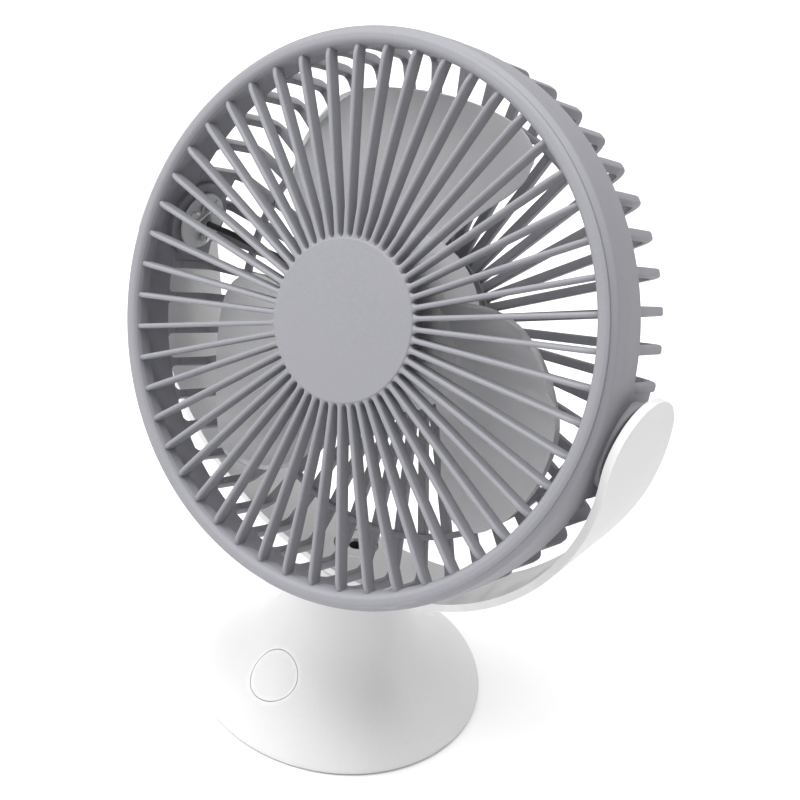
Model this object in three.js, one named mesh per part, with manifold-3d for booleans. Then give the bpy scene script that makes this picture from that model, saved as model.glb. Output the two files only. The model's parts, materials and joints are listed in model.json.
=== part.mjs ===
// Desk fan: a round grilled head tilting in a C-shaped yoke, which turns on a trumpet foot.
// Millimetres, +Z up, the fan faces -Y, the origin is the centre of the foot's underside.
import * as THREE from 'three';
import { mergeVertices } from 'three/addons/utils/BufferGeometryUtils.js';
import Module from 'manifold-3d';

const wasm = await Module();
wasm.setup();

// ---------------------------------------------------------------- driving dimensions
const headRadius = 95;          // outside of the drum
const pivotHeight = 161;        // tilt axis above the table
const headTilt = 22;            // degrees that the face looks up at rest
const standTurn = -7;           // degrees that the foot is turned under the yoke at rest
const gap = 0.3;                // clearance between pieces that touch
const runGap = 0.6;             // clearance round pieces that move

const drumWall = 4.2;
const drumFront = -25;          // places along the fan axis, counted back from the tilt axis
const drumBack = -5.7;
const grilleCrown = 1.7;        // height of the front rim's crown over the drum's front edge
const rimWidth = 5.8;
const rimSkirt = 5;             // depth that the rim reaches into the drum
const rimSkirtWall = 2.4;
const capRadius = 27;           // plain disc in the middle of the front grille
const capFront = -29;
const capWall = 2;
const frontRibs = 50;
const frontRibTurn = 3.2;       // degrees from the tilt axis to the first front rib
const frontRibWidth = 1.7;
const frontRibDepth = 5;

const rearRibs = 48;
const rearRibWidth = 3;
const rearRibDepth = 3.4;
const cageInset = 0.8;          // rear ribs' outside, in from the drum's
const cageDepth = 24;           // back of the rear cage behind the tilt axis
const bandRadius = 76.5;        // thin ring that ties the rear ribs
const bandWidth = 2.2;
const rearHubRadius = 27;
const rearHubWall = 3;

const lugHalfWidth = 18;        // solid patch of cage round each side pivot
const rightLugTop = 30.6;       // the right patch reaches one rib higher
const padRadius = 15;
const padOut = 1;               // pad face, out from the drum

const bladeCount = 3;
const bladeTip = 77.5;
const bladeThickness = 1.8;
const bladeFront = -16;         // trailing edge, nearest the front grille
const bladeBack = 9.5;          // leading edge
const hubRadius = 31;
const hubWall = 2;
const hubFront = -18;
const hubBack = 8;
const bladeSweep = 24;          // degrees that the blades stand turned round the shaft at rest
const bladeCamber = 2.4;

const shaftRadius = 1.5;
const bearingRadius = 4;
const bearingWidth = 4;
const postRadius = 5.6;         // tube that carries the bearings and the stator
const statorRadius = 22.5;
const statorStack = 8;
const magnetWall = 2;
const canWall = 1.2;
const airGap = 0.5;
const canFront = -14;
const mountFace = 14;           // front face of the motor's mounting plate
const mountRadius = 23;
const mountWall = 2;
const motorScrewCircle = 17;
const screwRadius = 1.25;
const screwHeadRadius = 2.4;
const screwHeadHeight = 1.4;

const armOut = 101.2;           // outside of the yoke, from the fan axis
const armWall = 2.8;
const yokeDrop = 100.2;         // outside of the yoke's bottom, below the tilt axis
const armEndRadius = 18.8;
const bandReach = 9.5;          // rear edge of the yoke's lowest part, behind the tilt axis
const trunnionRadius = 8;
const trunnionBore = 3.4;
const washerWall = 1.1;
const keeperRadius = 10.5;
const keeperWall = 1.6;
const keeperScrewOffset = 5.7;

const neckTop = 58.3;
const neckRadius = 15.6;
const footRadius = 56.2;
const footWall = 2.4;
const padThickness = 1.2;
const floorWall = 2;
const yokeBossRadius = 12.4;
const boltRadius = 4.6;
const boltBore = 2.4;
const boltHeadRadius = 8;
const boltHeadHeight = 1.3;
const bushRadius = 6.4;
const nutRadius = 8;
const nutHeight = 4;

const buttonRadius = 9.7;
const buttonHeight = 16.6;      // button centre above the table
const buttonGap = 0.45;
const buttonWall = 2;
const buttonTravel = 0.8;
const buttonStemRadius = 2;

const buttonLean = 50;          // degrees from upright that the button's face looks outward
const switchDepth = 5;          // top of the switch under the button's face

const usbWidth = 9;
const usbHeight = 3.4;
const usbDepth = 7.4;
const usbWall = 0.35;
const usbCentre = 10.5;         // above the table

const floorRadius = 47.8;
const footScrewCircle = 36;
const footPostRadius = 4;
const ballastRadius = 43;
const ballastWall = 3;
const batterySize = [44, 28, 7.5];
const batteryPlace = -4;        // middle of the battery, behind the foot's axis

// ---------------------------------------------------------------- tools
const rad = THREE.MathUtils.degToRad;
const turn = Math.PI * 2;
const clipAt = 400;             // larger than the whole object, for cutting blocks

function pointsOutward(geometry) {
  const position = geometry.getAttribute('position');
  const index = geometry.getIndex();
  const a = new THREE.Vector3();
  const b = new THREE.Vector3();
  const c = new THREE.Vector3();
  let volume = 0;
  for (let i = 0; i < index.count; i += 3) {
    a.fromBufferAttribute(position, index.getX(i));
    b.fromBufferAttribute(position, index.getX(i + 1));
    c.fromBufferAttribute(position, index.getX(i + 2));
    volume += a.dot(b.cross(c));
  }
  return volume > 0;
}

// A closed geometry as a solid that can be cut and joined.
function solid(geometry) {
  const bare = geometry.clone();
  bare.deleteAttribute('normal');
  bare.deleteAttribute('uv');
  const merged = mergeVertices(bare, 1e-4);
  const corners = Array.from(merged.getIndex().array);
  const outward = pointsOutward(merged);
  const triVerts = [];
  for (let i = 0; i < corners.length; i += 3) {
    const [a, b, c] = corners.slice(i, i + 3);
    if (a !== b && b !== c && c !== a) triVerts.push(a, outward ? b : c, outward ? c : b);
  }
  return new wasm.Manifold(new wasm.Mesh({
    numProp: 3,
    vertProperties: new Float32Array(merged.getAttribute('position').array),
    triVerts: new Uint32Array(triVerts),
  }));
}

function joined(solids) {
  return solids.reduce((sum, next) => sum.add(next));
}

// Profile points are [radius, place along the axis]. The axis is Y, or Z for the foot's pieces.
function turned(profile, segments = 48, axis = 'y') {
  const points = profile.map(([r, s]) => new THREE.Vector2(r, s));
  const closesOnAxis = profile[0][0] === 0 && profile.at(-1)[0] === 0;
  if (!closesOnAxis) points.push(points[0].clone());
  const geometry = new THREE.LatheGeometry(points, segments);
  if (axis === 'z') geometry.rotateX(Math.PI / 2);
  if (axis === 'x') geometry.rotateZ(-Math.PI / 2);
  return solid(geometry);
}

function ring(inner, outer, from, to, segments = 48, axis = 'y') {
  return turned([[inner, from], [outer, from], [outer, to], [inner, to]], segments, axis);
}

function rod(radius, from, to, segments = 24, axis = 'y') {
  return turned([[0, from], [radius, from], [radius, to], [0, to]], segments, axis);
}

function block(size, centre) {
  return solid(new THREE.BoxGeometry(...size).translate(...centre));
}

// A flat outline in the radius-axis plane, given a thickness across it: one rib.
function fin(outline, width) {
  const shape = new THREE.Shape(outline.map(([r, s]) => new THREE.Vector2(r, s)));
  const geometry = new THREE.ExtrudeGeometry(shape, { depth: width, bevelEnabled: false });
  return solid(geometry.translate(0, 0, -width / 2));
}

function around(count, makeAt, startAngle = 0) {
  const copies = [];
  for (let i = 0; i < count; i += 1) copies.push(makeAt(startAngle + (360 / count) * i));
  return copies;
}

function tube(points, radius, steps, sides = 8) {
  const curve = new THREE.CatmullRomCurve3(points.map((p) => new THREE.Vector3(...p)));
  const section = new THREE.Shape();
  section.absarc(0, 0, radius, 0, turn);
  return solid(new THREE.ExtrudeGeometry(section, {
    steps, extrudePath: curve, curveSegments: sides, bevelEnabled: false,
  }));
}

const finishes = {
  grey_shell: new THREE.MeshStandardMaterial({ color: 0xa9abb2, roughness: 0.55, metalness: 0 }),
  blade: new THREE.MeshStandardMaterial({ color: 0xc9ccce, roughness: 0.5, metalness: 0 }),
  white_shell: new THREE.MeshStandardMaterial({ color: 0xececea, roughness: 0.5, metalness: 0 }),
  rubber: new THREE.MeshStandardMaterial({ color: 0x8f9194, roughness: 0.85, metalness: 0 }),
  steel: new THREE.MeshStandardMaterial({ color: 0xb8babd, roughness: 0.35, metalness: 1 }),
  magnet: new THREE.MeshStandardMaterial({ color: 0x3a3a3c, roughness: 0.7, metalness: 0.3 }),
  copper: new THREE.MeshStandardMaterial({ color: 0xb5652e, roughness: 0.4, metalness: 0.9 }),
  board: new THREE.MeshStandardMaterial({ color: 0x1d5a38, roughness: 0.5, metalness: 0 }),
  black_plastic: new THREE.MeshStandardMaterial({ color: 0x242527, roughness: 0.6, metalness: 0 }),
  battery_wrap: new THREE.MeshStandardMaterial({ color: 0x9fa8b4, roughness: 0.35, metalness: 0.6 }),
};

const fan = new THREE.Group();
const head = new THREE.Group();
head.position.z = pivotHeight;
head.rotation.x = -rad(headTilt);
const yoke = new THREE.Group();
yoke.position.z = pivotHeight;
const stand = new THREE.Group();
stand.rotation.z = rad(standTurn);
fan.add(head, yoke, stand);

function place(group, name, shape, finish) {
  const made = shape.getMesh();
  const geometry = new THREE.BufferGeometry();
  geometry.setAttribute('position', new THREE.BufferAttribute(made.vertProperties, 3));
  geometry.setIndex(new THREE.BufferAttribute(made.triVerts, 1));
  geometry.computeVertexNormals();
  const mesh = new THREE.Mesh(geometry, finishes[finish].clone());
  mesh.name = name;
  group.add(mesh);
  return mesh;
}

// ---------------------------------------------------------------- head: front grille
const drumInside = headRadius - drumWall;
const rimOutside = headRadius - 1.2;
const rimInside = rimOutside - 0.8 * rimWidth;
const rimFront = drumFront - grilleCrown;
const capBack = capFront + frontRibDepth + 0.4;

function frontGrille() {
  const skirtOutside = drumInside - gap;
  const rim = turned([
    [rimInside, drumFront - 0.6],
    [rimInside + 1.6, rimFront],
    [rimOutside - 1.2, rimFront + 0.4],
    [rimOutside, drumFront - gap],
    [skirtOutside, drumFront - gap],
    [skirtOutside, drumFront + rimSkirt],
    [skirtOutside - rimSkirtWall, drumFront + rimSkirt],
  ], frontRibs);
  const cap = turned([
    [0, capFront - 0.5],
    [capRadius, capFront + 0.3],
    [capRadius, capBack],
    [capRadius - capWall, capBack],
    [capRadius - capWall, capFront + capWall],
    [0, capFront + capWall - 0.5],
  ], frontRibs);
  const root = capRadius - 1;
  const tip = rimInside + 1.4;
  const ribOutline = [
    [root, capFront + 0.3],
    [tip, drumFront - 0.8],
    [tip, drumFront - 0.8 + frontRibDepth],
    [root, capFront + 0.3 + frontRibDepth],
  ];
  const ribs = around(frontRibs, (angle) => fin(ribOutline, frontRibWidth).rotate([0, angle, 0]));
  return joined([rim, cap, ...ribs]).rotate([0, frontRibTurn, 0]);
}

// ---------------------------------------------------------------- head: rear cage
const hubFace = cageDepth - rearHubWall;
const cageRadius = headRadius - cageInset;
const shoulder = cageDepth - 7;
const padFace = headRadius + padOut;
const padInside = drumInside - 2;
const pivotBore = trunnionRadius + gap;

// The outside of the cage, from the drum's back edge over the shoulder to the hub.
const cageLine = [
  [cageRadius, drumBack - 3],
  [cageRadius - 0.9, shoulder - 5],
  [cageRadius - 2.8, shoulder - 1],
  [cageRadius - 6.5, shoulder + 0.8],
  [bandRadius, cageDepth - 4],
  [rearHubRadius - 2, cageDepth - 0.2],
];

function inward(line, depth) {
  const inner = line.map(([r, s], i) => {
    const [r0, s0] = line[Math.max(i - 1, 0)];
    const [r1, s1] = line[Math.min(i + 1, line.length - 1)];
    const length = Math.hypot(r1 - r0, s1 - s0);
    return [r - (depth * (s1 - s0)) / length, s + (depth * (r1 - r0)) / length];
  });
  return inner.reverse();
}

function pivotLug(side, top) {
  const depth = shoulder - 5 - drumBack;
  const shell = ring(cageRadius - rearRibDepth, cageRadius, drumBack - 1, drumBack + depth, rearRibs);
  const size = [clipAt, depth + 1, lugHalfWidth + top];
  const patch = block(size, [clipAt / 2, drumBack - 0.5 + depth / 2, (top - lugHalfWidth) / 2]);
  const pad = rod(padRadius, padInside, padFace, 24, 'x');
  const lug = shell.intersect(patch).add(pad);
  return side > 0 ? lug : lug.rotate([0, 180, 0]);
}

function rearCage() {
  const drum = turned([
    [drumInside, drumFront],
    [rimOutside, drumFront],
    [headRadius, drumFront + 2],
    [headRadius, drumFront + 10],
    [headRadius - 0.4, drumBack],
    [drumInside, drumBack],
  ], rearRibs);
  const ribOutline = [...cageLine, ...inward(cageLine, rearRibDepth)];
  const ribs = around(rearRibs, (angle) => fin(ribOutline, rearRibWidth).rotate([0, angle, 0]),
    180 / rearRibs);
  const bandBack = cageDepth - 4;
  const band = ring(bandRadius - bandWidth, bandRadius, bandBack - 3, bandBack, rearRibs);
  const hub = turned([
    [0, hubFace],
    [rearHubRadius - 4, hubFace],
    [rearHubRadius - 3.4, hubFace - 1],
    [rearHubRadius, hubFace - 1],
    [rearHubRadius, cageDepth - 0.6],
    [rearHubRadius - 2, cageDepth + 0.4],
    [0, cageDepth + 0.4],
  ], rearRibs);
  const whole = joined([drum, band, hub, ...ribs, pivotLug(1, rightLugTop), pivotLug(-1, lugHalfWidth)]);
  const bore = rod(pivotBore, -clipAt, clipAt, 24, 'x');
  const screwHoles = motorScrewPlaces().map(([x, z]) =>
    rod(screwRadius + gap, hubFace - 2, cageDepth + 2, 12).translate([x, 0, z]));
  const recesses = motorScrewPlaces().map(([x, z]) =>
    rod(screwHeadRadius + gap, cageDepth - screwHeadHeight, cageDepth + 2, 16).translate([x, 0, z]));
  return whole.subtract(joined([bore, ...screwHoles, ...recesses]));
}

function motorScrewPlaces() {
  return around(3, (angle) => [
    motorScrewCircle * Math.cos(rad(angle)),
    motorScrewCircle * Math.sin(rad(angle)),
  ], 90);
}

place(head, 'front_grille', frontGrille(), 'grey_shell');
place(head, 'rear_cage', rearCage(), 'grey_shell');

// ---------------------------------------------------------------- head: motor
const shaftBore = shaftRadius + gap;
const mountBack = hubFace - gap;
const postFront = canFront + canWall + gap + 1;
const frontBearing = postFront + 0.6;
const rearBearing = mountFace - bearingWidth - 1;
const boardFront = mountFace - 2.2;
const boardWall = 1.2;
const statorCentre = -2;
const statorFront = statorCentre - statorStack / 2;
const statorBack = statorCentre + statorStack / 2;

function motorMount() {
  const plate = rod(mountRadius, mountFace, mountFace + mountWall, 28);
  const post = rod(postRadius, postFront, mountFace + mountWall, 20);
  const spigots = motorScrewPlaces().map(([x, z]) =>
    rod(3.4, mountFace, mountBack, 12).translate([x, 0, z]));
  const bore = rod(shaftRadius + runGap, -clipAt, clipAt, 20);
  const seat = bearingRadius + gap;
  const frontSeat = rod(seat, postFront - 1, frontBearing + bearingWidth + gap, 24);
  const rearSeat = rod(seat, rearBearing - gap, mountFace + mountWall + 1, 24);
  const pilots = motorScrewPlaces().map(([x, z]) =>
    rod(screwRadius + gap, mountFace + 0.6, mountBack + 1, 12).translate([x, 0, z]));
  return joined([plate, post, ...spigots]).subtract(joined([bore, frontSeat, rearSeat, ...pilots]));
}

function statorCore() {
  const teeth = around(9, (angle) => {
    const stem = block([statorRadius - 9, statorStack, 3.4], [(statorRadius + 9) / 2 - 1, statorCentre, 0]);
    const foot = block([1.8, statorStack, 10.5], [statorRadius - 1.9, statorCentre, 0]);
    return stem.add(foot).rotate([0, angle, 0]);
  });
  const core = ring(postRadius + gap, 10, statorFront, statorBack, 36);
  const round = rod(statorRadius, statorFront - 1, statorBack + 1, 54);
  return joined([core, ...teeth]).intersect(round);
}

function statorWinding() {
  const bobbin = ring(10.6, 13.5, statorBack + gap, statorBack + 2.5, 18);
  const coils = around(9, (angle) => {
    const outer = block([7, statorStack + 5, 6.2], [15.4, statorCentre, 0]);
    const hollow = block([9, statorStack + 2 * gap, 3.4 + 2 * gap], [15.4, statorCentre, 0]);
    return outer.subtract(hollow).rotate([0, angle, 0]);
  });
  return joined([bobbin, ...coils]);
}

function motorBoard() {
  const bore = rod(postRadius + gap, -clipAt, clipAt, 24);
  const disc = rod(mountRadius - 1, boardFront, boardFront + boardWall, 24);
  const driver = block([6, 1.6, 5], [13, boardFront - 0.7, 0]);
  return disc.add(driver).subtract(bore);
}

const magnetInside = statorRadius + airGap;
const canInside = magnetInside + magnetWall + gap;
const canOutside = canInside + canWall;
const canBack = statorBack + 3;

function rotorCan() {
  const cup = turned([
    [shaftBore, canFront - 2],
    [4, canFront - 2],
    [4, canFront],
    [canOutside, canFront],
    [canOutside, canBack],
    [canInside, canBack],
    [canInside, canFront + canWall],
    [shaftBore, canFront + canWall],
  ], 32);
  const vents = around(3, (angle) =>
    rod(4, canFront - 1, canFront + 2, 8).translate([13, 0, 0]).rotate([0, angle, 0]));
  return cup.subtract(joined(vents));
}

function bearing(from) {
  return ring(shaftBore, bearingRadius, from, from + bearingWidth, 24);
}

place(head, 'motor_mount', motorMount(), 'black_plastic');
place(head, 'motor_board', motorBoard(), 'board');
place(head, 'stator_core', statorCore(), 'steel');
place(head, 'stator_winding', statorWinding(), 'copper');
place(head, 'front_bearing', bearing(frontBearing), 'steel');
place(head, 'rear_bearing', bearing(rearBearing), 'steel');
motorScrewPlaces().forEach(([x, z], i) => {
  const shank = rod(screwRadius, mountFace + 1.2, cageDepth - 0.7, 12);
  const top = rod(screwHeadRadius, cageDepth - 1.1, cageDepth + 0.2, 16);
  place(head, `motor_screw_${i + 1}`, shank.add(top).translate([x, 0, z]), 'steel');
});

// The motor's lead leaves the left pivot, runs round behind the blades and along the cage.
const leadRadius = 1.1;
const leadOut = padInside - 2 * gap - keeperWall - leadRadius - 1;
const leadBack = cageDepth - 4 - rearRibDepth - leadRadius - 0.8;
const leadRoute = [
  [-leadOut, 0, 0],
  [-leadOut + 1.2, 5, -1],
  [-leadOut + 4, 11, -2],
  [-bandRadius + 3, leadBack, -3],
  [-50, leadBack + 1.2, -2],
  [-30, leadBack + 2.6, -1],
  [-21, leadBack + 3.2, 0],
];
place(head, 'motor_lead', tube(leadRoute, leadRadius, 22), 'black_plastic');

// ---------------------------------------------------------------- impeller and shaft
// Across the blade, 0 is the leading edge and 1 the trailing edge; out is 0 at the hub, 1 at the tip.
function bladePoint(out, across, side) {
  const r = hubRadius - 1.5 + (bladeTip - hubRadius + 1.5) * out;
  const lead = 58 - 22 * out + 12 * out ** 4;
  const trail = 132 - 16 * out - 14 * out ** 4;
  const angle = rad(bladeSweep + lead + (trail - lead) * across);
  const camber = (bladeCamber + 2.5 * out) * Math.sin(Math.PI * across);
  const s = bladeBack + (bladeFront - bladeBack) * across + camber + 2 * out * (1 - across);
  return new THREE.Vector3(r * Math.cos(angle), s + (side * bladeThickness) / 2, r * Math.sin(angle));
}

function blade() {
  const rows = 6;
  const columns = 6;
  const geometry = new THREE.BoxGeometry(1, 1, 1, rows, columns, 1);
  const position = geometry.getAttribute('position');
  for (let i = 0; i < position.count; i += 1) {
    const point = bladePoint(position.getX(i) + 0.5, position.getY(i) + 0.5, 2 * position.getZ(i));
    position.setXYZ(i, point.x, point.y, point.z);
  }
  return solid(geometry);
}

function impeller() {
  const boss = 5;
  const plate = hubFront + hubWall;
  const hub = turned([
    [shaftBore, hubFront],
    [hubRadius - 3, hubFront],
    [hubRadius, hubFront + 3],
    [hubRadius, hubBack],
    [hubRadius - hubWall, hubBack],
    [hubRadius - hubWall, plate],
    [boss, plate],
    [boss, canFront - 2 - gap],
    [shaftBore, canFront - 2 - gap],
  ], 36);
  const inside = rod(hubRadius - hubWall, plate, clipAt, 36);
  const blades = around(bladeCount, (angle) => blade().rotate([0, angle, 0]).subtract(inside));
  return joined([hub, ...blades]);
}

place(head, 'impeller', impeller(), 'blade');
place(head, 'motor_shaft', rod(shaftRadius, hubFront - 4.5, mountFace + 1, 20), 'steel');
place(head, 'rotor_can', rotorCan(), 'steel');
place(head, 'rotor_magnet', ring(magnetInside, magnetInside + magnetWall, statorFront - 1, statorBack + 2, 32),
  'magnet');
const nutFront = hubFront - 3.6;
const nutBore = rod(shaftBore, nutFront - 1, hubFront, 20);
place(head, 'impeller_nut', rod(4, nutFront, hubFront - gap, 6).subtract(nutBore), 'steel');

// ---------------------------------------------------------------- yoke
const armIn = armOut - armWall;
const yokeInside = yokeDrop - armWall;
const yokeBottom = pivotHeight - yokeDrop;
const bossDrop = yokeBottom - 0.2 - neckTop - gap;

// C outline in the X-Z plane: straight above the tilt axis, half an ellipse below it.
function cOutline(halfWidth, drop) {
  const shape = new THREE.Shape();
  shape.moveTo(halfWidth, armEndRadius + 1);
  shape.lineTo(halfWidth, 0);
  shape.absellipse(0, 0, halfWidth, drop, 0, -Math.PI, true);
  shape.lineTo(-halfWidth, armEndRadius + 1);
  return shape;
}

function extruded(shape, depth, curveSegments) {
  return new THREE.ExtrudeGeometry(shape, { depth, curveSegments, bevelEnabled: false });
}

// Side view of the yoke: a round paddle at the pivot that tapers to the band under the head.
function sideOutline() {
  const shape = new THREE.Shape();
  shape.absarc(0, 0, armEndRadius, 0, Math.PI, false);
  shape.splineThru([
    new THREE.Vector2(-armEndRadius + 1.6, -30),
    new THREE.Vector2(-armEndRadius + 1.4, -60),
    new THREE.Vector2(-armEndRadius + 1.1, -yokeDrop - 1),
  ]);
  shape.lineTo(bandReach, -yokeDrop - 1);
  shape.splineThru([
    new THREE.Vector2(0.6 * bandReach, -80),
    new THREE.Vector2(0.45 * armEndRadius, -65),
    new THREE.Vector2(0.72 * armEndRadius, -50),
    new THREE.Vector2(armEndRadius - 0.5, -30),
    new THREE.Vector2(armEndRadius, 0),
  ]);
  return shape;
}

function yokeArm() {
  const span = 4 * armEndRadius;
  const upright = (shape) => solid(extruded(shape, span, 20).rotateX(Math.PI / 2)
    .translate(0, span / 2, 0));
  const band = upright(cOutline(armOut, yokeDrop)).subtract(upright(cOutline(armIn, yokeInside)));
  const profile = solid(extruded(sideOutline(), 4 * armOut, 6)
    .rotateY(Math.PI / 2).rotateX(Math.PI / 2).translate(-2 * armOut, 0, 0));
  const boss = rod(yokeBossRadius, -yokeDrop - bossDrop, -yokeInside + 0.2, 36, 'z');
  const trunnion = ring(trunnionBore, trunnionRadius, padInside - gap, armIn + 1, 28, 'x');
  const pilots = keeperScrewPlaces().map(([y, z]) =>
    rod(screwRadius + gap, padInside - 2, padInside + 6, 12, 'x').translate([0, y, z]));
  const pivots = trunnion.subtract(joined(pilots));
  const boltHole = rod(boltRadius + gap, -clipAt, 0, 28, 'z');
  const boltSeat = rod(boltHeadRadius + gap, -yokeInside - boltHeadHeight - gap, 0, 32, 'z');
  const whole = joined([band.intersect(profile), pivots, pivots.rotate([0, 180, 0])]);
  return whole.add(boss.intersect(profile.add(boss))).subtract(boltHole.add(boltSeat));
}

function keeperScrewPlaces() {
  return [[0, keeperScrewOffset], [0, -keeperScrewOffset]];
}

const keeperFace = padInside - 2 * gap;

function pivotKeeper() {
  const plate = rod(keeperRadius, keeperFace - keeperWall, keeperFace, 32, 'x');
  const bore = rod(trunnionBore, 0, clipAt, 24, 'x');
  const holes = keeperScrewPlaces().map(([y, z]) =>
    rod(screwRadius + gap, 0, clipAt, 12, 'x').translate([0, y, z]));
  const flat = block([clipAt, 6, 40], [clipAt / 2, keeperRadius + 1.6, 0]);
  return plate.subtract(joined([bore, flat, ...holes]));
}

// Bent wire on the left keeper that holds the lead against the pivot.
const clipRadius = 0.7;
const clipOut = keeperFace - keeperWall - 2 * gap - screwHeadHeight - clipRadius;
const clipRoute = [
  [-clipOut, 3.4, 8.6],
  [-clipOut, -1.6, 5.6],
  [-clipOut, -7.4, 3.6],
  [-clipOut, -9.6, 5.2],
  [-clipOut, -8.4, 7.4],
  [-clipOut, -6.4, 6.6],
];
place(yoke, 'lead_clip', tube(clipRoute, clipRadius, 14, 6), 'steel');
place(yoke, 'yoke_arm', yokeArm(), 'white_shell');
[['right', 0], ['left', 180]].forEach(([side, half]) => {
  const turnTo = (shape) => shape.rotate([0, half, 0]);
  const washer = ring(pivotBore, pivotBore + 2.6, padFace + gap, padFace + gap + washerWall, 32, 'x');
  place(yoke, `${side}_friction_washer`, turnTo(washer), 'black_plastic');
  place(yoke, `${side}_pivot_keeper`, turnTo(pivotKeeper()), 'white_shell');
  keeperScrewPlaces().forEach(([y, z], i) => {
    const headFrom = keeperFace - keeperWall - gap - screwHeadHeight;
    const top = rod(screwHeadRadius, headFrom, headFrom + screwHeadHeight, 16, 'x');
    const shank = rod(screwRadius, headFrom + 0.5, padInside + 5, 12, 'x');
    place(yoke, `${side}_keeper_screw_${i + 1}`, turnTo(top.add(shank).translate([0, y, z])), 'steel');
  });
});

// ---------------------------------------------------------------- stand: foot shell
// Outside of the foot as [radius, height]: a flat skirt that sweeps up into the neck.
const footLine = [
  [footRadius, padThickness + gap],
  [footRadius - 1.2, 2.8],
  [footRadius - 8.3, 7.6],
  [footRadius - 19.3, 15.2],
  [footRadius - 28.6, 26.6],
  [neckRadius + 5.4, 39.9],
  [neckRadius + 1.6, 50],
  [neckRadius, neckTop],
];
const neckWall = 4;

function footProfile(cut) {
  const curve = new THREE.SplineCurve(footLine.slice(1).map(([r, z]) => new THREE.Vector2(r, z)));
  const outside = curve.getPoints(8).map((p) => [p.x, p.y]);
  return inward(outside, cut).reverse();
}

function footSolid(cut) {
  const line = footProfile(cut);
  const [firstRadius] = line[0];
  const [lastRadius] = line.at(-1);
  return turned([
    [0, 0],
    [firstRadius + 1.2, 0],
    ...line,
    [lastRadius, neckTop + 1],
    [0, neckTop + 1],
  ], 40, 'z');
}

// Where the outside of the foot stands at a height above the table.
function footRadiusAt(height) {
  const above = footLine.findIndex(([, z]) => z > height);
  const [r0, z0] = footLine[above - 1];
  const [r1, z1] = footLine[above];
  return r0 + ((r1 - r0) * (height - z0)) / (z1 - z0);
}

const buttonSeat = footRadiusAt(buttonHeight);

// A shape made along Z at the origin is carried to the button's place, facing out of the foot.
function atButton(shape) {
  return shape.rotate([buttonLean, 0, 0]).translate([0, -buttonSeat, buttonHeight]);
}

const usbMouth = footRadiusAt(usbCentre + usbHeight / 2);
const portWidth = usbWidth + 3;
const portHeight = usbHeight + 3;
const floorBottom = padThickness + gap;
const floorTop = floorBottom + floorWall;
const neckBore = bushRadius + gap;

function footShell() {
  const hollow = footSolid(footWall);
  const neckCore = rod(neckRadius + 4, neckTop - neckWall, neckTop + 2, 40, 'z');
  const top = block([clipAt, clipAt, clipAt], [0, 0, neckTop + clipAt / 2]);
  const under = block([clipAt, clipAt, clipAt], [0, 0, floorBottom - clipAt / 2]);
  const bore = rod(neckBore, 0, clipAt, 32, 'z');
  const window = atButton(rod(buttonRadius + buttonGap, -12, 12, 36, 'z'));
  const port = block([portWidth, clipAt, portHeight], [0, clipAt / 2 + 20, usbCentre]);
  const posts = footScrewPlaces().map(([x, y]) =>
    rod(footPostRadius, floorTop + gap, 18, 16, 'z').translate([x, y, 0]));
  const pilots = footScrewPlaces().map(([x, y]) =>
    rod(screwRadius + gap, 0, 13, 12, 'z').translate([x, y, 0]));
  const wall = footSolid(0).subtract(hollow.subtract(neckCore));
  const shell = wall.add(joined(posts).intersect(footSolid(0.5 * footWall)));
  return shell.subtract(joined([top, under, bore, window, port, ...pilots]));
}

function footScrewPlaces() {
  return [45, 135, 225, 315].map((angle) => [
    footScrewCircle * Math.cos(rad(angle)),
    footScrewCircle * Math.sin(rad(angle)),
  ]);
}

function footFloor() {
  const plate = rod(floorRadius, floorBottom, floorTop, 48, 'z');
  const recesses = footScrewPlaces().map(([x, y]) =>
    rod(screwHeadRadius + gap, 0, floorBottom + screwHeadHeight + gap, 16, 'z').translate([x, y, 0]));
  const holes = footScrewPlaces().map(([x, y]) =>
    rod(screwRadius + gap, 0, clipAt, 12, 'z').translate([x, y, 0]));
  return plate.subtract(joined([...recesses, ...holes]));
}

function ballast() {
  const disc = rod(ballastRadius, floorTop + gap, floorTop + gap + ballastWall, 48, 'z');
  const posts = footScrewPlaces().map(([x, y]) => rod(footPostRadius + runGap, 0, 20, 16, 'z').translate([x, y, 0]));
  const front = block([34, 40, 20], [0, -20 - 18, floorTop]);
  return disc.subtract(joined([front, ...posts]));
}

// ---------------------------------------------------------------- stand: button and switch
function powerButton() {
  const plug = atButton(rod(buttonRadius, -12, 12, 36, 'z'));
  const cap = footSolid(0).intersect(plug).subtract(footSolid(buttonWall));
  const stemEnd = buttonTravel + gap - switchDepth;
  const stem = atButton(rod(buttonStemRadius, stemEnd, -0.6 * buttonWall, 16, 'z'));
  return cap.add(stem);
}

function alongButton(size, depth) {
  return atButton(block(size, [0, 0, -depth - size[2] / 2]));
}

function usbSocket() {
  const from = usbMouth - 2.6 - usbDepth;
  const outer = block([usbWidth, usbDepth, usbHeight], [0, from + usbDepth / 2, usbCentre]);
  const inner = block([usbWidth - 2 * usbWall, usbDepth, usbHeight - 2 * usbWall],
    [0, from + usbDepth / 2 + 1.2, usbCentre]);
  const tongue = block([usbWidth - 3, usbDepth - 1, 0.7], [0, from + (usbDepth - 1) / 2, usbCentre]);
  return outer.subtract(inner).add(tongue);
}

function chargeBoard() {
  const top = usbCentre - usbHeight / 2 - gap;
  const back = usbMouth - 5;
  const plate = block([22, 16, 1.2], [0, back - 8, top - 0.6]);
  const chip = block([5, 5, 1.2], [-6, back - 13, top + 0.5]);
  return plate.add(chip);
}

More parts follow.
